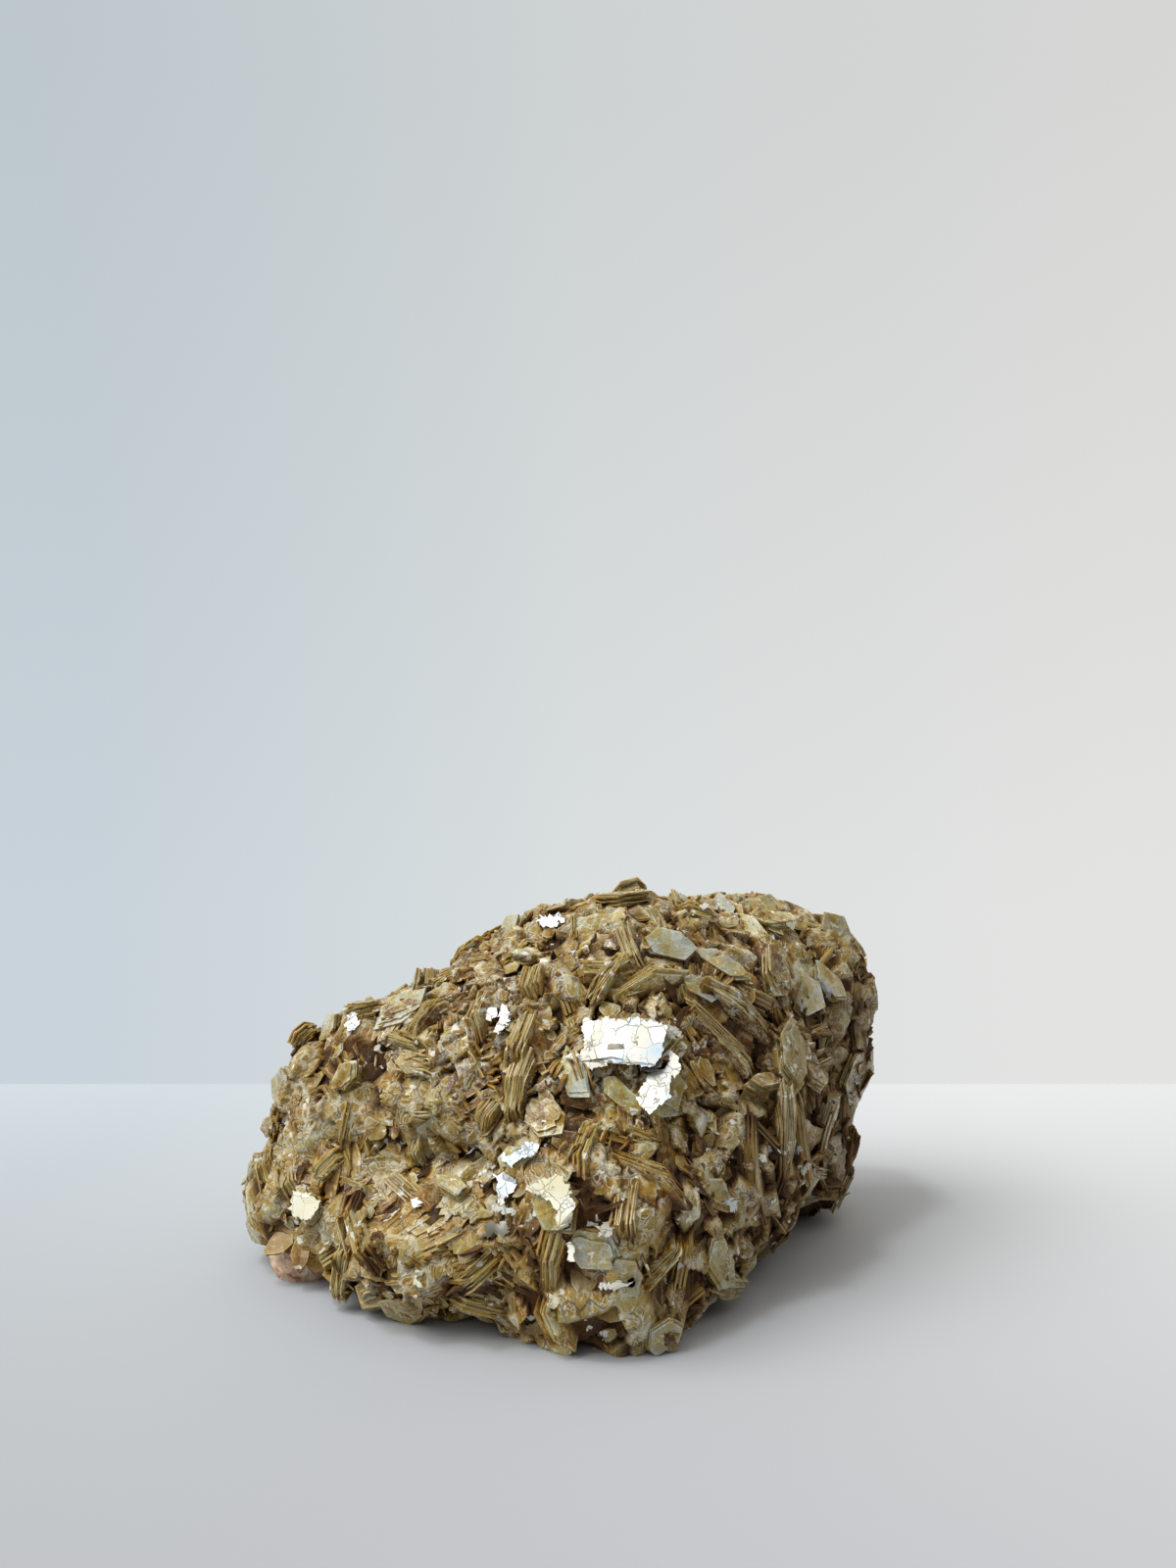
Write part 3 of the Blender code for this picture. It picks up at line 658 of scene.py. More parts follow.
LARGEST_BOOKS = (  # (name, place, length, width, thickness, heading, turn, stands out, tint)
    ("broad plate", (5.0, -17.8, 30.2), 10.6, 6.6, 2.0, 4, 0, 1.4, 0.62),
    ("plate below it", (8.9, -19.0, 24.6), 7.6, 5.0, 2.0, 66, 0, 1.2, 0.62),
    ("front plate", (-2.7, -28.4, 15.7), 6.6, 5.6, 2.0, -50, -8, 1.3, 0.5),
    ("slanting plate", (-6.8, -22.3, 18.6), 5.4, 3.2, 1.6, 20, 8, 1.3, 0.6),
    ("left plate", (-32.8, -14.3, 9.9), 5.0, 4.2, 1.8, -15, 5, 1.4, 0.5),
    ("crown plate", (10.5, -9.2, 39.6), 8.0, 5.2, 2.0, -8, 10, 1.6, 0.85),
    ("crown ledge", (1.5, -6.2, 42.0), 9.0, 5.0, 2.0, 5, 30, 1.6, 0.7),
    ("crown bar", (3.5, -11.5, 37.4), 11.5, 3.6, 2.2, 3, 75, 1.3, 0.35),
    ("crown splinter", (3.2, -11.9, 36.6), 11.0, 3.2, 1.8, 58, 80, 2.0, 0.3),
    ("crown fan", (-6.0, -11.7, 36.4), 7.4, 4.4, 2.4, 98, 72, 1.8, 0.28),
    ("shoulder blade", (-18.6, -9.7, 31.4), 8.2, 4.0, 2.4, 84, 78, 1.8, 0.1),
    ("shoulder bar", (-18.9, -14.6, 26.2), 8.0, 3.6, 2.4, -2, 75, 1.6, 0.2),
    ("shoulder fan", (-19.2, -16.5, 21.0), 7.0, 4.6, 2.2, 28, 60, 1.5, 0.3),
    ("lens", (-28.6, -11.6, 24.4), 4.4, 3.6, 2.0, 60, 0, 1.3, 0.4),
    ("middle blade", (-7.4, -20.2, 25.0), 9.4, 3.8, 2.4, 86, 76, 1.8, 0.12),
    ("middle fan", (-11.0, -19.8, 21.2), 8.0, 4.0, 2.2, 74, 66, 1.5, 0.3),
    ("second middle blade", (0.3, -22.4, 20.6), 7.4, 3.8, 2.4, 80, 70, 1.8, 0.25),
    ("falling blade", (6.8, -23.6, 18.0), 11.0, 4.4, 2.4, -42, 64, 1.6, 0.25),
    ("terrace", (1.2, -31.6, 11.4), 7.2, 4.8, 2.6, -8, 6, 1.2, 0.8),
    ("terrace step", (4.2, -32.1, 8.6), 4.8, 4.6, 2.4, 2, 4, 1.0, 0.72),
    ("nose blade", (-3.4, -31.4, 9.0), 8.6, 3.6, 2.4, 84, 74, 1.4, 0.2),
    ("nose tip", (-3.0, -31.2, 3.2), 7.6, 4.4, 2.6, 112, 52, 1.8, 0.4),
    ("skirt blade", (-15.5, -24.3, 10.4), 8.6, 4.2, 2.4, 24, 62, 1.4, 0.3),
    ("skirt foot", (-22.8, -20.4, 2.8), 6.6, 4.6, 3.0, 62, 36, 2.6, 0.75),
    ("skirt lobe", (-11.0, -26.6, 3.6), 8.4, 4.8, 2.8, -22, 50, 2.0, 0.6),
    ("left fan", (-29.6, -15.4, 3.6), 8.2, 4.8, 2.8, 58, 50, 2.6, 0.35),
    ("dark splinter", (16.4, -14.0, 29.0), 15.0, 3.8, 2.4, -52, 70, 1.7, 0.08),
    ("second dark splinter", (18.6, -10.6, 31.2), 13.0, 3.2, 2.0, -47, 66, 1.9, 0.1),
    ("long slab", (19.6, -18.0, 15.6), 16.5, 4.4, 2.2, 97, 44, 1.5, 0.85),
    ("second long slab", (22.8, -14.6, 17.6), 15.0, 3.6, 2.0, 92, 62, 1.5, 0.75),
    ("back slab", (25.9, -11.8, 17.4), 15.5, 3.2, 1.8, 88, 76, 1.4, 0.7),
    ("right lobe", (33.6, 4.6, 17.0), 10.0, 6.0, 3.0, 84, 34, 1.6, 0.6),
    ("right brow", (32.4, 3.0, 33.4), 7.0, 4.6, 2.2, 118, 20, 1.8, 0.6),
    ("front right book", (11.4, -28.2, 8.6), 9.0, 5.0, 2.6, 64, 48, 1.3, 0.55),
    ("toe book", (12.6, -27.6, 3.4), 7.6, 4.4, 2.8, 20, 54, 1.0, 0.4),
    ("left brow", (-37.8, -4.2, 22.0), 6.8, 4.8, 2.6, 40, 30, 1.8, 0.8),
    ("upper left brow", (-32.0, -2.0, 28.6), 6.0, 4.6, 2.6, 20, 34, 2.0, 0.85),
    ("shoulder brow", (-23.6, 0.0, 35.0), 8.0, 5.4, 3.2, 25, 40, 3.0, 0.85),
    ("crown brow", (-9.0, 2.0, 41.4), 7.6, 5.2, 2.8, 12, 36, 2.2, 0.8),
    ("ridge brow", (14.0, 6.0, 45.0), 8.0, 5.4, 2.8, 8, 30, 2.0, 0.75),
    ("back brow", (25.0, 9.0, 43.6), 8.0, 5.2, 2.8, -14, 36, 2.2, 0.6),
    ("corner brow", (34.0, 10.0, 39.4), 7.4, 5.0, 2.8, -40, 34, 2.0, 0.65),
)
SMALLER_BOOKS = 172
BOOK_LENGTH = (5.2, 10.5)
BOOK_SLENDERNESS = (0.42, 0.85)
BOOK_THICKNESS = (1.3, 2.8)
BOOK_CORNERS = (5, 6, 6)
BOOK_STANDS_OUT = (0.8, 2.2)
BOOK_FAN = 0.25
EDGE_ON = 0.62  # of the smaller books
PARALLEL_OVER = 17.0
SPACING = 3.9
SHEETS_IN_A_LARGE_BOOK = 11
STEPS_IN_AN_EDGE = 4
SPLINTER_LENGTH = (0.80, 1.04)  # of each sheet, against its book
SPLINTER_WIDTH = (0.84, 1.03)
OPEN_SHARE = 0.38  # of a largest book's half sizes, kept free of the small crystals


def large_books():
    """Every large book of the solid: its frame, thickness, fan and outlines, in the solid's own order."""
    chance = random.Random(SEED)
    facets = list(rock.faces)
    areas = [facet.calc_area() for facet in facets]
    found = []
    taken = []

    def grow(spot, normal, length, width, thickness, heading, turn, stands_out, tint):
        level = Vector((0, 0, 1)).cross(normal).normalized()
        long_way = level * math.cos(heading) + normal.cross(level) * math.sin(heading)
        rise = chance.uniform(-0.22, 0.22)
        across = normal.cross(long_way)
        long_way = (long_way * math.cos(rise) + normal * math.sin(rise)).normalized()
        face = Matrix.Rotation(turn, 3, long_way) @ long_way.cross(across).normalized()
        if face.dot(normal) < 0:
            face = -face
        width_way = face.cross(long_way)
        depth = abs(width_way.dot(normal)) * width + abs(face.dot(normal)) * thickness
        centre = spot + normal * (stands_out - depth / 2)
        fan = chance.uniform(-BOOK_FAN, BOOK_FAN)
        corners = chance.choice(BOOK_CORNERS)
        outline = []
        for i in range(corners):
            angle = 2 * math.pi * (i + chance.uniform(-0.2, 0.2)) / corners
            size = chance.uniform(0.9, 1.1)
            outline.append((size * length / 2 * math.cos(angle), size * width / 2 * math.sin(angle)))
        shrinks = (chance.uniform(0.86, 1.0), chance.uniform(0.86, 1.0))
        found.append((centre, long_way, width_way, face, length, thickness, fan, outline, shrinks, spot, normal,
                      tint))

    for _, place, length, width, thickness, heading, turn, stands_out, tint in LARGEST_BOOKS:
        spot, normal = on_mass(Vector(place) - HEART)
        taken.append(spot)
        heading, turn = math.radians(heading), math.radians(turn)
        grow(spot, normal, length, width, thickness, heading, turn, stands_out, tint)
    while len(taken) < len(LARGEST_BOOKS) + SMALLER_BOOKS:
        facet = chance.choices(facets, areas)[0]
        corners = [vertex.co / MM for vertex in facet.verts]
        spot = corners[0].lerp(corners[1], chance.random())
        spot = spot.lerp(corners[2], 1 - math.sqrt(chance.random()))
        normal = facet.normal.copy()
        if spot.z < 1.5 or min((spot - other).length for other in taken) < SPACING:
            continue
        if (spot - FELDSPAR_AT).length < 8:
            continue
        taken.append(spot)
        length = chance.uniform(*BOOK_LENGTH)
        width = length * chance.uniform(*BOOK_SLENDERNESS)
        heading = math.pi * (0.5 + 1.3 * noise.noise(spot / PARALLEL_OVER) + chance.uniform(-0.15, 0.15))
        if chance.random() < EDGE_ON:
            turn = chance.choice((-1, 1)) * chance.uniform(0.9, 1.5)
        else:
            turn = chance.uniform(-0.4, 0.4)
        thickness = chance.uniform(*BOOK_THICKNESS)
        grow(spot, normal, length, width, thickness, heading, turn, chance.uniform(*BOOK_STANDS_OUT), None)
    return found


def in_front(points):
    """Which sheets, of many, would hide a bright face."""
    hiding = np.zeros(len(points), bool)
    for middle, radius, way, right, up, outline, facing in kept_clear:
        near = np.flatnonzero(np.linalg.norm(points[:, -1] - np.array(middle), axis=1) < radius + 9)
        if not len(near):
            continue
        from_eye = points[near] - np.array(eye)
        scale = (middle - eye).length / (from_eye @ np.array(way))
        x = (from_eye @ np.array(right)) * scale
        y = (from_eye @ np.array(up)) * scale
        above = (points[near] - np.array(middle)) @ np.array(facing) > -0.12
        inside = np.zeros(x.shape, bool)
        for (x0, y0), (x1, y1) in zip(outline * 0.94, np.roll(outline, -1, axis=0) * 0.94):
            crosses = (y0 > y) != (y1 > y)
            inside ^= crosses & (x < (x1 - x0) * (y - y0) / (y1 - y0 + 1e-12) + x0)
        hiding[near] |= (inside & above).any(axis=1)
    return hiding


class Sheets:
    """Collects thin sheets, each a ring of corners at two heights over its own plane, as one mesh.

    Each carries what its colour needs: tint is its crystal's colour, layer its height in the stack, rim the
    distance from its outline, fibre and along the place across and along its fibres, outward how far it
    stands out of the mass, and cut is 1 on its edge. Lengths are in millimetres.
    """

    KEYS = ("tint", "layer", "rim", "fibre", "along", "outward")

    def __init__(self):
        self.points, self.corners, self.sizes, self.cut = [], [], [], []
        self.values = {key: [] for key in self.KEYS}
        self.count = 0

    def add(self, centres, ways, rings, fibres, low, high, tints, phases, spots, normals):
        """Many sheets at once. ways are their long, width and face directions, low and high their heights."""
        long_way, width_way, face = ways
        flat = centres[:, None] + rings[:, :, :1] * long_way[:, None] + rings[:, :, 1:] * width_way[:, None]
        below = flat + low[:, :, None] * face[:, None]
        above = flat + high[:, :, None] * face[:, None]
        middle = above.mean(axis=1, keepdims=True)
        points = np.concatenate([below, above, middle], axis=1)
        points += np.maximum(room_low - points, 0).max(axis=1, keepdims=True)
        points -= np.maximum(points - room_high, 0).max(axis=1, keepdims=True)
        open_to_view = ~in_front(points)
        points, rings, fibres, low, high, tints, phases, spots, normals = (
            part[open_to_view] for part in (points, rings, fibres, low, high, tints, phases, spots, normals))
        above, middle = above[open_to_view], middle[open_to_view]
        number, corners = low.shape
        around_it = np.arange(corners)
        after = (around_it + 1) % corners
        sides = np.stack([around_it, after, corners + after, corners + around_it], axis=1).ravel()
        tops = np.stack([corners + around_it, corners + after, np.full(corners, 2 * corners)], axis=1).ravel()
        pattern = np.concatenate([around_it[::-1], sides, tops])
        firsts = self.count + np.arange(number) * (2 * corners + 1)
        self.corners.append((firsts[:, None] + pattern).ravel())
        self.sizes.append(np.tile([corners] + [4] * corners + [3] * corners, number))
        self.cut.append(np.tile([0] + [1] * corners + [0] * corners, number))
        self.points.append(points.reshape(-1, 3))
        inside = 0.8 * np.linalg.norm(above - middle, axis=2).min(axis=1, keepdims=True)
        self.values["rim"].append(np.concatenate([np.zeros((number, 2 * corners)), inside], axis=1).ravel())
        self.values["tint"].append(np.repeat(tints, 2 * corners + 1))
        heights = np.concatenate([low, high, high.mean(axis=1, keepdims=True)], axis=1)
        self.values["layer"].append((heights + phases[:, None]).ravel())
        across = np.concatenate([fibres, fibres, fibres.mean(axis=1, keepdims=True)], axis=1)
        self.values["fibre"].append((across + phases[:, None]).ravel())
        lengthwise = rings[:, :, 0]
        lengthwise = np.concatenate([lengthwise, lengthwise, lengthwise.mean(axis=1, keepdims=True)], axis=1)
        self.values["along"].append(lengthwise.ravel())
        self.values["outward"].append(((points - spots[:, None]) * normals[:, None]).sum(axis=2).ravel())
        self.count += number * (2 * corners + 1)

    def piece(self, name, material):
        made = new_piece(name, np.concatenate(self.points), np.concatenate(self.corners),
                         np.concatenate(self.sizes), material)
        for key in self.KEYS:
            carry(made, key, np.concatenate(self.values[key]))
        carry(made, "cut", np.concatenate(self.cut), "FACE")
        return made


STREAK_COLOURS = ((0.32, (0.48, 0.35, 0.20)), (0.48, (0.90, 0.87, 0.80)), (0.68, (1.32, 1.33, 1.30)))
RIM_WIDTH = 0.16
THIN_WIDTH = 1.1  # a crystal is thinner, and so paler, this near its rim


def mica_finish(name, fibres, clear):
    """Mica with this much fibre on its faces and this much light through it.

    It is coloured by its crystal, paler where it thins near its rims, crossed by fine pale wrinkles and rim
    lines of painted highlight, darker and browner with painted shade where it sinks into the mass, and lined
    on its cut edges.
    """
    made, shader, place = new_finish(name)
    tint, layer, rim, fibre, along, outward, cut = (place.carried(key) for key in (*Sheets.KEYS, "cut"))
    cloud = place.cloudy(420.0)
    patchy = place.cloudy(500.0, 2.0).fade(0.36, 0.56)
    bent = place + place.cloudy(900.0, 2.0, 0.5, "Color") * (0.9 * MM)
    on_crystal = place.node("CombineXYZ", _0=place.cloudy(330.0, 2.0) * 1.6 + fibre, _1=along)

    def along_fibres(across_scale, along_scale, detail):
        scaled = on_crystal * (across_scale, along_scale, 0)
        return place.node("TexNoise", {"noise_dimensions": "2D"}, Vector=scaled, Scale=1.0, Detail=detail,
                          Roughness=0.65)

    streaks = along_fibres(4.2, 0.45, 4.0)
    hairs = along_fibres(2.3, 0.3, 2.0)
    shade = cloud * 1.9 - 1.27 + place.cloudy(2300.0, 4.0, 0.7) * 0.22 + bent.chips(750.0).part(0) * 0.26
    shade = (shade + rim.fade(0.0, THIN_WIDTH, 0.13, -0.08)).math("ADD", tint, clamp=True)
    face = shade.ramp(FACE_COLOURS).towards(streaks.ramp(STREAK_COLOURS), fibres, "MULTIPLY")

    # Painted highlight: pale lines on the wrinkles and at the rims, where they catch the light.
    haired = hairs.math("PINGPONG", 0.13).fade(0.04, 0.0, 0.0, 0.3 + 0.4 * fibres)
    folded = place.cloudy(520.0, 3.0).math("PINGPONG", 0.12).fade(0.034, 0.0, 0.0, 0.8 - 0.2 * fibres)
    wrinkled = haired.math("MAXIMUM", folded) * patchy
    wrinkled = wrinkled.math("MAXIMUM", bent.borders(750.0).fade(0.05, 0.0, 0.0, 0.25))
    rim_highlight = rim.fade(RIM_WIDTH, 0.04) * cloud.fade(0.46, 0.60) * 0.8
    lines = lined(layer)
    colour = face.towards(HIGHLIGHT_LINE_COLOUR, wrinkled.math("MAXIMUM", rim_highlight)).towards(lines.ramp(EDGE_COLOURS), cut)
    colour, sunk = with_painted_shade(place, colour, outward)
    ridged = place.cloudy(1300.0, 5.0, 0.65).towards(streaks, 0.2 + 0.4 * fibres) + wrinkled * 0.4
    fill(shader, Base_Color=painted_glints(bent, colour), IOR=MICA_IOR, Specular_IOR_Level=0.3,
         Roughness=cloud.fade(0.35, 0.65, 0.07, 0.32) + sunk.fade(0.0, 0.8, 0.0, 0.5),
         Subsurface_Weight=0.5, Subsurface_Radius=GLOW, Subsurface_Scale=0.8 * MM,
         Normal=place.node("Bump", Height=ridged.towards(lines, cut), Strength=0.35, Distance=0.1 * MM,
                           Normal=leaning(bent, 750.0, 0.4)))
    if clear:
        fill(shader, Transmission_Weight=shade.fade(0.35, 0.95, 0.0, clear, "LINEAR"))
    return made


leafy_mica = mica_finish("leafy mica", 0.35, 0.25)
bladed_mica = mica_finish("bladed mica", 0.9, 0.0)


def torn(number, corners, breaks=6, rough=0.07):
    """Outlines of unit radius: straight breaks all round, with torn corners."""
    angles = 2 * np.pi * (np.arange(corners) + chance.uniform(-0.3, 0.3, (number, corners))) / corners
    radius = np.full((number, corners), 1.3)
    for waves in (2, 3):
        radius += chance.uniform(0, 0.2 / waves ** 0.5, (number, 1)) * np.cos(
            waves * angles + chance.uniform(0, 6.28, (number, 1)))
    for _ in range(breaks):
        away = chance.uniform(0.55, 1.05, (number, 1))
        facing = np.cos(angles - chance.uniform(0, 6.28, (number, 1)))
        radius = np.where(facing > 0.05, np.minimum(radius, away / np.maximum(facing, 0.05)), radius)
    radius *= 1 - np.abs(chance.normal(0, rough, radius.shape))
    return np.stack([radius * np.cos(angles), radius * np.sin(angles)], axis=2)


kept_open = []  # the spot, normal, long way and way across of each largest book, and half of what shows of it
on_edge, face_on = Sheets(), Sheets()
for number, book in enumerate(large_books()):
    centre, long_way, width_way, face, length, thickness, fan, outline, shrinks, spot, normal, tint = book
    if number < len(LARGEST_BOOKS):
        width = LARGEST_BOOKS[number][3]
        sideways = normal.cross(long_way).normalized()
        shows = abs(width_way.dot(sideways)) * width + abs(face.dot(sideways)) * thickness
        kept_open.append([np.array(way) for way in (spot, normal, long_way, sideways)]
                         + [OPEN_SHARE * length, OPEN_SHARE * shows])
    sheets = face_on if abs(face.dot(normal)) > 0.75 else on_edge
    if tint is None:
        tint = chance.uniform(0.1, 0.9)
    count = SHEETS_IN_A_LARGE_BOOK
    share = (np.arange(count) + 0.5)[:, None] / count
    shrink = shrinks[0] + (shrinks[1] - shrinks[0]) * share
    ring = np.concatenate([np.linspace(here, there, STEPS_IN_AN_EDGE, endpoint=False)
                           for here, there in zip(outline, [*outline[1:], outline[0]])])
    corners = len(ring)
    ragged = np.minimum(np.linalg.norm(torn(count, corners, 2, 0.06), axis=2) * 1.1, 1.02)
    rings = ring[None] * (shrink * ragged)[:, :, None]
    splinters = [chance.uniform(*SPLINTER_LENGTH, count), chance.uniform(*SPLINTER_WIDTH, count)]
    rings *= np.stack(splinters, axis=1)[:, None]
    rings[:, :, 0] += chance.uniform(-0.06, 0.06, (count, 1)) * length
    splay = 1 + fan * 2 * rings[:, :, 0] / length
    lift = (share - 0.5) * thickness * splay + chance.normal(0, 0.025, (count, corners))
    thick = thickness / count * splay
    same = np.ones((count, 1))
    sheets.add(np.array(centre) * same, [np.array(way) * same for way in (long_way, width_way, face)], rings,
               rings[:, :, 1], lift - 0.62 * thick, lift + chance.uniform(0.3, 0.52, same.shape) * thick,
               tint * same[:, 0], chance.uniform(0, 500) * same[:, 0], np.array(spot) * same,
               np.array(normal) * same)
on_edge.piece("books_on_edge", bladed_mica)
face_on.piece("books_face_on", leafy_mica)

# ------------------------------------------------------------------------------------------------
# The fans. Most of the mass is sheaves of narrow blades that spread from a common root, amber to
# olive and finely lined along their length, some seen flat and some on edge.

FANS = 540
BLADES_IN_A_FAN = 5
BLADE_LENGTH = (2.6, 7.6)
BLADE_SLENDERNESS = (0.26, 0.6)
BLADE_THICKNESS = (0.25, 0.70)
BLADE_SPREAD = 0.2


def scattered(number, lean):
    """Random spots over the solid, even by area, and outward ways there, off its feet and the feldspar."""
    a, b, c = (solid_points[solid_faces[:, k]] for k in range(3))
    cross = np.cross(b - a, c - a)
    areas = np.linalg.norm(cross, axis=1)
    pick = chance.choice(len(areas), number * 3, p=areas / areas.sum())
    u, v = chance.random((2, len(pick), 1))
    over = u + v > 1
    u, v = np.where(over, 1 - u, u), np.where(over, 1 - v, v)
    spots = a[pick] + u * (b - a)[pick] + v * (c - a)[pick]
    flats = cross[pick] / areas[pick, None]
    grain = (((spots - np.array(FELDSPAR_AT)) / (np.array(FELDSPAR_SIZE) + 0.6)) ** 2).sum(axis=1)
    good = (spots[:, 2] > 0.25) & (grain > 1)
    for spot, normal, long_way, sideways, half_length, half_width in kept_open:
        away = spots - spot
        good &= ~((np.abs(away @ long_way) < half_length) & (np.abs(away @ sideways) < half_width)
                  & (np.abs(away @ normal) < 3.5))
    spots, flats = spots[good][:number], flats[good][:number]
    ups = []
    for spot, flat in zip(spots, flats):
        _, up, _, _ = mass.find_nearest(Vector(spot) * MM)
        if up.dot(Vector(spot) - HEART) < 0:
            up = -up
        ups.append(np.array(up) + lean * flat)
    return spots, unit(np.array(ups))


def directions(normals, headings, turns, rises):
    """The long, width and face directions of many crystals, from their headings, turns and rises."""
    level = unit(np.cross((0, 0, 1), normals))
    uphill = np.cross(normals, level)
    headings, turns, rises = headings[:, None], turns[:, None], rises[:, None]
    flat = level * np.cos(headings) + uphill * np.sin(headings)
    across = np.cross(normals, flat)
    long_way = flat * np.cos(rises) + normals * np.sin(rises)
    up = np.cross(long_way, across)
    return long_way, across * np.cos(turns) + up * np.sin(turns), up * np.cos(turns) - across * np.sin(turns)


def wedges(number):
    """Outlines of blades of unit half length and width: narrow at the root, wider and torn at the tip."""
    root = chance.uniform(0.1, 0.35, (number, 1))
    waist = chance.uniform(0.5, 0.95, (number, 2))
    tip = chance.uniform(0.35, 1.0, (number, 1))
    jags = chance.uniform(0.72, 1.1, (number, 3))
    one = np.ones((number, 1))
    x = np.concatenate([-one, -0.1 * one, 0.62 * one, jags, 0.7 * one, -0.15 * one, -one], axis=1)
    y = np.concatenate([-root, -waist[:, :1], -tip, -0.5 * tip, 0 * tip, 0.5 * tip, tip, waist[:, 1:], root],
                       axis=1)
    fibres = np.array([-1, -1, -1, -0.5, 0, 0.5, 1, 1, 1]) * one
    return np.stack([x, y], axis=2), fibres


MOST_OUT = 0.45  # that a corner of any of them stands out of the solid


def standing_out(corner):
    """How far a place is outside the solid, and less than 0 inside it."""
    nearest, facing, _, _ = crystals.find_nearest(corner)
    return (corner - nearest).length * (1 if (corner - nearest).dot(facing) > 0 else -1)


def grow(sheets, spots, normals, ways, sizes, stands_out, tints, layers, outline, fibres, curl):
    """Adds crystals of this many layers each, sunk into the mass at their spots, of these three sizes."""
    lengths, widths, thicknesses = sizes
    long_way, width_way, face = ways
    number, corners = outline.shape[:2]
    depth = (np.abs((width_way * normals).sum(axis=1)) * widths
             + np.abs((face * normals).sum(axis=1)) * thicknesses
             + np.abs((long_way * normals).sum(axis=1)) * lengths * 0.6)
    centres = spots + normals * (stands_out - depth / 2)[:, None]
    rings = outline * np.stack([lengths, widths], axis=1)[:, None] / 2
    tops = centres[:, None] + rings[:, :, :1] * long_way[:, None] + rings[:, :, 1:] * width_way[:, None]
    farthest = np.array([max(standing_out(Vector(corner)) for corner in top) for top in tops])
    over = np.maximum(farthest + thicknesses / 2 - MOST_OUT, 0)
    centres -= normals * over[:, None]
    spots = spots - normals * over[:, None]
    bend, twist = chance.normal(0, curl, (2, number, 1))
    phases = chance.uniform(0, 500, number)
    half = np.stack([lengths, widths], axis=1)[:, None] / 2
    for k in range(layers):
        ragged = outline * (1 - np.abs(chance.normal(0, 0.07, (number, corners, 1))))
        rings = ragged * half + chance.normal(0, 0.04, (number, 1, 2)) * lengths[:, None, None]
        curve = (bend * ragged[:, :, 0] ** 2 + twist * ragged[:, :, 0] * ragged[:, :, 1]) * lengths[:, None]
        curve += chance.normal(0, 0.02, (number, corners))
        splay = 1 + chance.normal(0, 0.2, (number, 1)) * ragged[:, :, 0]
        lift = ((k + 0.5) / layers - 0.5) * thicknesses[:, None] * splay
        thick = thicknesses[:, None] / layers
        sheets.add(centres, ways, rings, fibres * half[:, :, 1], lift + curve - 0.45 * thick,
                   lift + curve + chance.uniform(0.1, 0.45, (number, 1)) * thick, tints, phases, spots, normals)


for part in ("first", "second", "third"):
    number = FANS // 3
    roots, normals = scattered(number, 0.3)
    headings = headings_at(roots) + chance.normal(0, 0.45, number)
    seen_on_edge = chance.random(number) < 0.5
    turns = np.where(seen_on_edge, chance.choice((-1, 1), number) * chance.uniform(0.8, 1.5, number),
                     chance.normal(0, 0.45, number))
    rises = chance.normal(0.08, 0.1, number)
    lengths = chance.uniform(*BLADE_LENGTH, number)
    order = np.repeat(np.arange(number), BLADES_IN_A_FAN)
    count = len(order)
    lengths = lengths[order] * chance.uniform(0.72, 1.05, count)
    spread = np.tile(np.linspace(-1, 1, BLADES_IN_A_FAN), number) * BLADE_SPREAD
    headings = headings[order] + spread * np.cos(turns[order]) + chance.normal(0, 0.04, count)
    rises = rises[order] + spread * np.sin(turns[order]) * 0.5 + chance.normal(0, 0.04, count)
    turns = turns[order] + chance.normal(0, 0.08, count)
    ways = directions(normals[order], headings, turns, rises)
    widths = lengths * chance.uniform(*BLADE_SLENDERNESS, count)
    thicks = chance.uniform(*BLADE_THICKNESS, count)
    beside = 0.45 * widths * np.abs(np.cos(turns)) + 0.7 * thicks * np.abs(np.sin(turns))
    level = ways[1] * np.cos(turns)[:, None] - ways[2] * np.sin(turns)[:, None]
    place_in_fan = np.tile(np.arange(BLADES_IN_A_FAN), number) - BLADES_IN_A_FAN / 2 + 0.5
    aside = level * (beside * place_in_fan)[:, None]
    wanted = roots[order] + ways[0] * lengths[:, None] * 0.38 + aside + chance.normal(0, 0.1, (count, 3))
    spots = np.array([crystals.find_nearest(Vector(spot))[0] for spot in wanted])
    free = spots[:, 2] > 0.25
    outline, fibres = wedges(count)
    sizes = np.stack([lengths, widths, thicks])
    tints = tints_at(roots)[order] * 0.85 + chance.normal(0, 0.07, count)
    stands_out = chance.uniform(-0.1, 0.5, number)[order] + chance.normal(0, 0.1, count)
    sheets = Sheets()
    grow(sheets, spots[free], normals[order][free], [way[free] for way in ways], sizes[:, free],
         stands_out[free], np.clip(tints, 0, 1)[free], 1, outline[free], fibres[free], 0.012)
    sheets.piece(f"blades_{part}", bladed_mica)

# ------------------------------------------------------------------------------------------------
# The leaves. Broad thin flakes of the same mica, torn round their edges, lie over and between the
# books and blades. They are the clearest of it, greyish to pale olive.

LEAVES = 1500
LEAF_LENGTH = (1.7, 6.0)
LEAF_SLENDERNESS = (0.5, 0.95)
LEAF_THICKNESS = (0.12, 0.34)
LEAF_CORNERS = 12
LEAF_SHEETS = 2

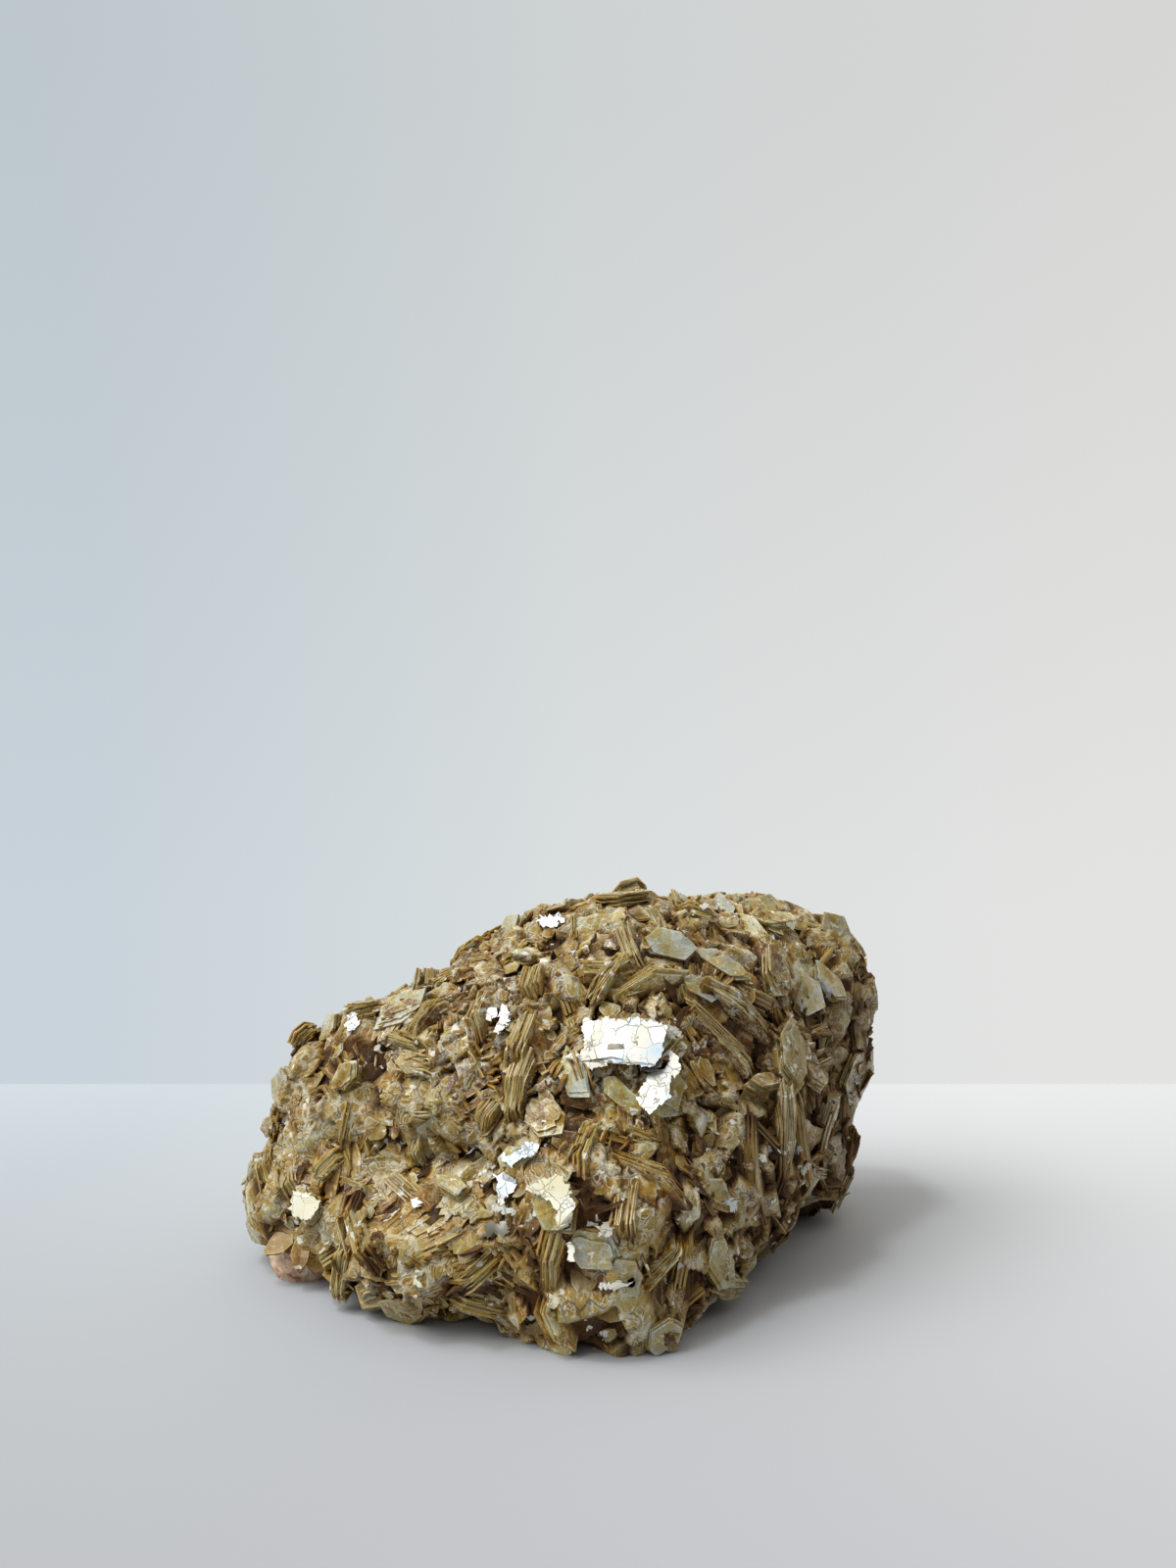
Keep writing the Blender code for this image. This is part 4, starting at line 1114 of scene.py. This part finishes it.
spots, normals = scattered(LEAVES, 0.5)
count = len(spots)
headings = headings_at(spots) + chance.normal(0, 0.9, count)
ways = directions(normals, headings, chance.normal(0, 0.2, count), chance.normal(0, 0.15, count))
lengths = LEAF_LENGTH[0] + (LEAF_LENGTH[1] - LEAF_LENGTH[0]) * chance.random(count) ** 1.4
sizes = np.stack([lengths, lengths * chance.uniform(*LEAF_SLENDERNESS, count),
                  chance.uniform(*LEAF_THICKNESS, count)])
outline = torn(count, LEAF_CORNERS, 7, 0.05)
sheets = Sheets()
grow(sheets, spots, normals, ways, sizes, chance.uniform(-0.15, 0.25, count),
     np.clip(tints_at(spots) + 0.12, 0, 1), LEAF_SHEETS, outline, outline[:, :, 1], 0.015)
sheets.piece("leaves_first", leafy_mica)

# ------------------------------------------------------------------------------------------------
# The crumbs. Small crystals and broken scraps of mica that fill whatever is left.

CRUMBS = 1800
CRUMB_LENGTH = (0.9, 2.4)
CRUMB_CORNERS = 6

spots, normals = scattered(CRUMBS, 0.6)
count = len(spots)
ways = directions(normals, chance.uniform(0, 6.28, count), chance.normal(0, 0.7, count),
                  chance.normal(0, 0.3, count))
lengths = chance.uniform(*CRUMB_LENGTH, count)
sizes = np.stack([lengths, lengths * chance.uniform(0.25, 0.7, count), chance.uniform(0.08, 0.25, count)])
outline = torn(count, CRUMB_CORNERS)
sheets = Sheets()
grow(sheets, spots, normals, ways, sizes, chance.uniform(-0.15, 0.2, count), tints_at(spots), 1, outline,
     outline[:, :, 1], 0.02)
sheets.piece("crumbs", leafy_mica)

# ------------------------------------------------------------------------------------------------
# The brow. A few leaves of mica that hang from the mass over the top of the feldspar grain.

BROW = (  # (way out from the middle of the grain, length, width, heading) of each leaf
    ((-0.75, -0.35, 0.80), 4.4, 3.0, 80),
    ((-0.45, -0.80, 0.48), 4.6, 3.2, 60),
    ((0.05, -0.90, 0.38), 4.8, 3.0, 95),
    ((0.50, -0.85, 0.30), 4.4, 3.2, 70),
    ((-0.10, -0.45, 1.00), 5.0, 3.8, 30),
    ((0.35, -0.55, 0.85), 4.8, 3.4, 110),
    ((-0.85, 0.15, 0.70), 4.2, 3.2, 50),
    ((0.85, -0.75, 0.15), 4.0, 2.8, 85),
)
BROW_THICKNESS = 0.3
BROW_CLEARANCE = 0.45

ways = unit(np.array([way for way, _, _, _ in BROW]))
lengths, widths, headings = np.array([sizes for _, *sizes in BROW]).T
count = len(BROW)
reaches = 1 / np.linalg.norm(ways / np.array(FELDSPAR_SIZE), axis=1, keepdims=True)
spots = np.array(FELDSPAR_AT) + ways * (reaches + BROW_CLEARANCE + BROW_THICKNESS)
normals = unit(ways / np.array(FELDSPAR_SIZE) ** 2)
frames = directions(normals, np.radians(headings), np.zeros(count), np.zeros(count))
outline = torn(count, LEAF_CORNERS, 7, 0.05)
rings = outline * np.stack([lengths, widths], axis=1)[:, None] / 2
droop = -0.5 * (rings ** 2).sum(axis=2) / 6.5
sheets = Sheets()
sheets.add(spots, frames, rings, rings[:, :, 1], droop - BROW_THICKNESS / 2, droop + BROW_THICKNESS / 2,
           np.linspace(0.35, 0.75, count), chance.uniform(0, 500, count), spots, normals)
sheets.piece("brow", leafy_mica)

# ------------------------------------------------------------------------------------------------
# The feldspar. One cleaved grain of salmon-pink feldspar that the mica grew round, blocky and
# finely stepped, with a little cream and rust in it.

GRAIN_CUTS = 5
GRAIN_RELIEF = 0.36
GRAIN_STEP = 0.5
CLEAVAGE_WAY = Vector((0.75, -0.25, 0.62)).normalized()
PEACH_DEEP = (0.46, 0.250, 0.150)
PEACH = (0.70, 0.450, 0.300)
PEACH_PALE = (0.84, 0.680, 0.520)

salmon, shader, place = new_finish("salmon feldspar")
cloud = place.cloudy(650.0, 6.0, 0.65)
fill(shader, Base_Color=cloud.ramp(((0.32, PEACH_DEEP), (0.5, PEACH), (0.66, PEACH_PALE))), Roughness=0.42,
     Normal=place.node("Bump", Height=cloud, Strength=0.9, Distance=0.4 * MM))

grain = bmesh.new()
grain.from_mesh(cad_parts["feldspar"].data)
bmesh.ops.subdivide_edges(grain, edges=grain.edges[:], cuts=GRAIN_CUTS, use_grid_fill=True)
bmesh.ops.triangulate(grain, faces=grain.faces[:])
grain.normal_update()
grain_points = []
for vertex in grain.verts:
    spot = vertex.co / MM - CENTRING
    if spot.z > 0.05:
        along = spot.dot(CLEAVAGE_WAY) / GRAIN_STEP + 1.1 * noise.noise(spot / 1.2)
        sink = GRAIN_RELIEF * (abs(along - round(along)) * 1.4 + 0.4 * noise.noise(spot / 0.5) + 0.4)
        spot = spot - vertex.normal * max(0.0, sink)
    grain_points.append(spot)
feldspar = new_piece("feldspar_grain", np.array(grain_points),
                     [vertex.index for face in grain.faces for vertex in face.verts],
                     [3] * len(grain.faces), salmon)
grain.free()
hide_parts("feldspar")

# ------------------------------------------------------------------------------------------------
# The studio. The specimen lies on pale paper, with painted light and shade graded over it, in front of a
# pale wall, lit by one large soft window high on its left, by a small lamp nearly overhead, and by the room,
# which gives warmer light than its wall looks. None of it belongs to the specimen.

FLOOR_REACH = 2.0  # metres to the left, the right and the front
FLOOR_END = 0.084  # and to the back, where the wall seems to start
# Painted light and shade on the paper: darker near the front and on the left, paler towards the back right.
FLOOR_NEAR = ((0.0, (0.365, 0.388, 0.440)), (1.0, (0.495, 0.508, 0.560)))  # from its left to its right
FLOOR_FAR = ((0.0, (0.510, 0.570, 0.650)), (1.0, (0.68, 0.705, 0.755)))
WALL_COLOURS = (  # across the wall, from its left to its right
    (0.31, (0.52, 0.58, 0.63)),
    (0.5, (0.63, 0.66, 0.66)),
    (0.7, (0.69, 0.69, 0.68)),
)
BRIGHT_SIDE = Vector((-0.36, 0.42, 0.83)).normalized()
ROOM_STRENGTH = 1.14  # of the light that the room gives, against how bright its wall looks
ROOM_DARKEST = 0.06  # of that strength, away from its bright side
ROOM_WARMTH = (1.06, 1.0, 0.90)  # of that light too
LIGHT_DISTANCE = 3.0
LAMP_WAY = Vector((-0.30, -0.12, 0.94)).normalized()

floor_mesh = bpy.data.meshes.new("floor")
floor_mesh.from_pydata([(-FLOOR_REACH, -FLOOR_REACH, 0), (FLOOR_REACH, -FLOOR_REACH, 0),
                        (FLOOR_REACH, FLOOR_END, 0), (-FLOOR_REACH, FLOOR_END, 0)], [], [(0, 1, 2, 3)])
floor = placed("floor", floor_mesh)
paper, shader, place = new_finish("pale floor")
rightward = place.part(0).fade(-0.08, 0.08, kind="LINEAR")
further = place.part(1).fade(-0.07, 0.08, kind="LINEAR")
fill(shader, Base_Color=rightward.ramp(FLOOR_NEAR).towards(rightward.ramp(FLOOR_FAR), further), Roughness=0.7)
floor_mesh.materials.append(paper)

world = bpy.data.worlds.new("studio")
world.use_nodes = True
way = Value(world.node_tree, "TexCoord", output="Generated")
seen = way.node("LightPath", None, "Is Camera Ray")
wall = way.part(0).fade(-1.0, 1.0, kind="LINEAR").ramp(WALL_COLOURS)
lower = way.part(2).fade(0.5, -0.1, 0.98, 1.12, "LINEAR")
given = way.dot(BRIGHT_SIDE).fade(-0.5, 0.8, ROOM_DARKEST * ROOM_STRENGTH, ROOM_STRENGTH)
warmed = wall.towards(ROOM_WARMTH, 1.0, "MULTIPLY")
fill(world.node_tree.nodes["Background"], Color=warmed.towards(wall, seen),
     Strength=lower * given.towards(1.0, seen))
bpy.context.scene.world = world


def area_light(name, shape, size, energy, colour, way, place):
    """A soft light at this place, shining along the way from it to the specimen."""
    data = bpy.data.lights.new(name, "AREA")
    data.shape = shape
    data.size = size
    data.energy = energy
    data.color = colour
    light = placed(name, data)
    light.location = place
    light.rotation_euler = way.to_track_quat("Z", "Y").to_euler()


above_floor = Vector((0, 0, 0.02))
area_light("window", "SQUARE", 2.3, 74, (1.0, 0.965, 0.895), KEY_WAY, KEY_WAY * LIGHT_DISTANCE + above_floor)
area_light("lamp", "DISK", 0.45, 14, (1.0, 1.0, 1.0), LAMP_WAY, LAMP_WAY * LIGHT_DISTANCE)

camera_data = bpy.data.cameras.new("camera")
camera_data.lens = 27.05
camera_data.sensor_width = 36
camera_data.clip_start = 0.01
camera = placed("camera", camera_data)
camera.location = EYE
camera.rotation_euler = (math.radians(90), 0, 0)
bpy.context.scene.camera = camera
bpy.context.scene.view_settings.view_transform = "Standard"
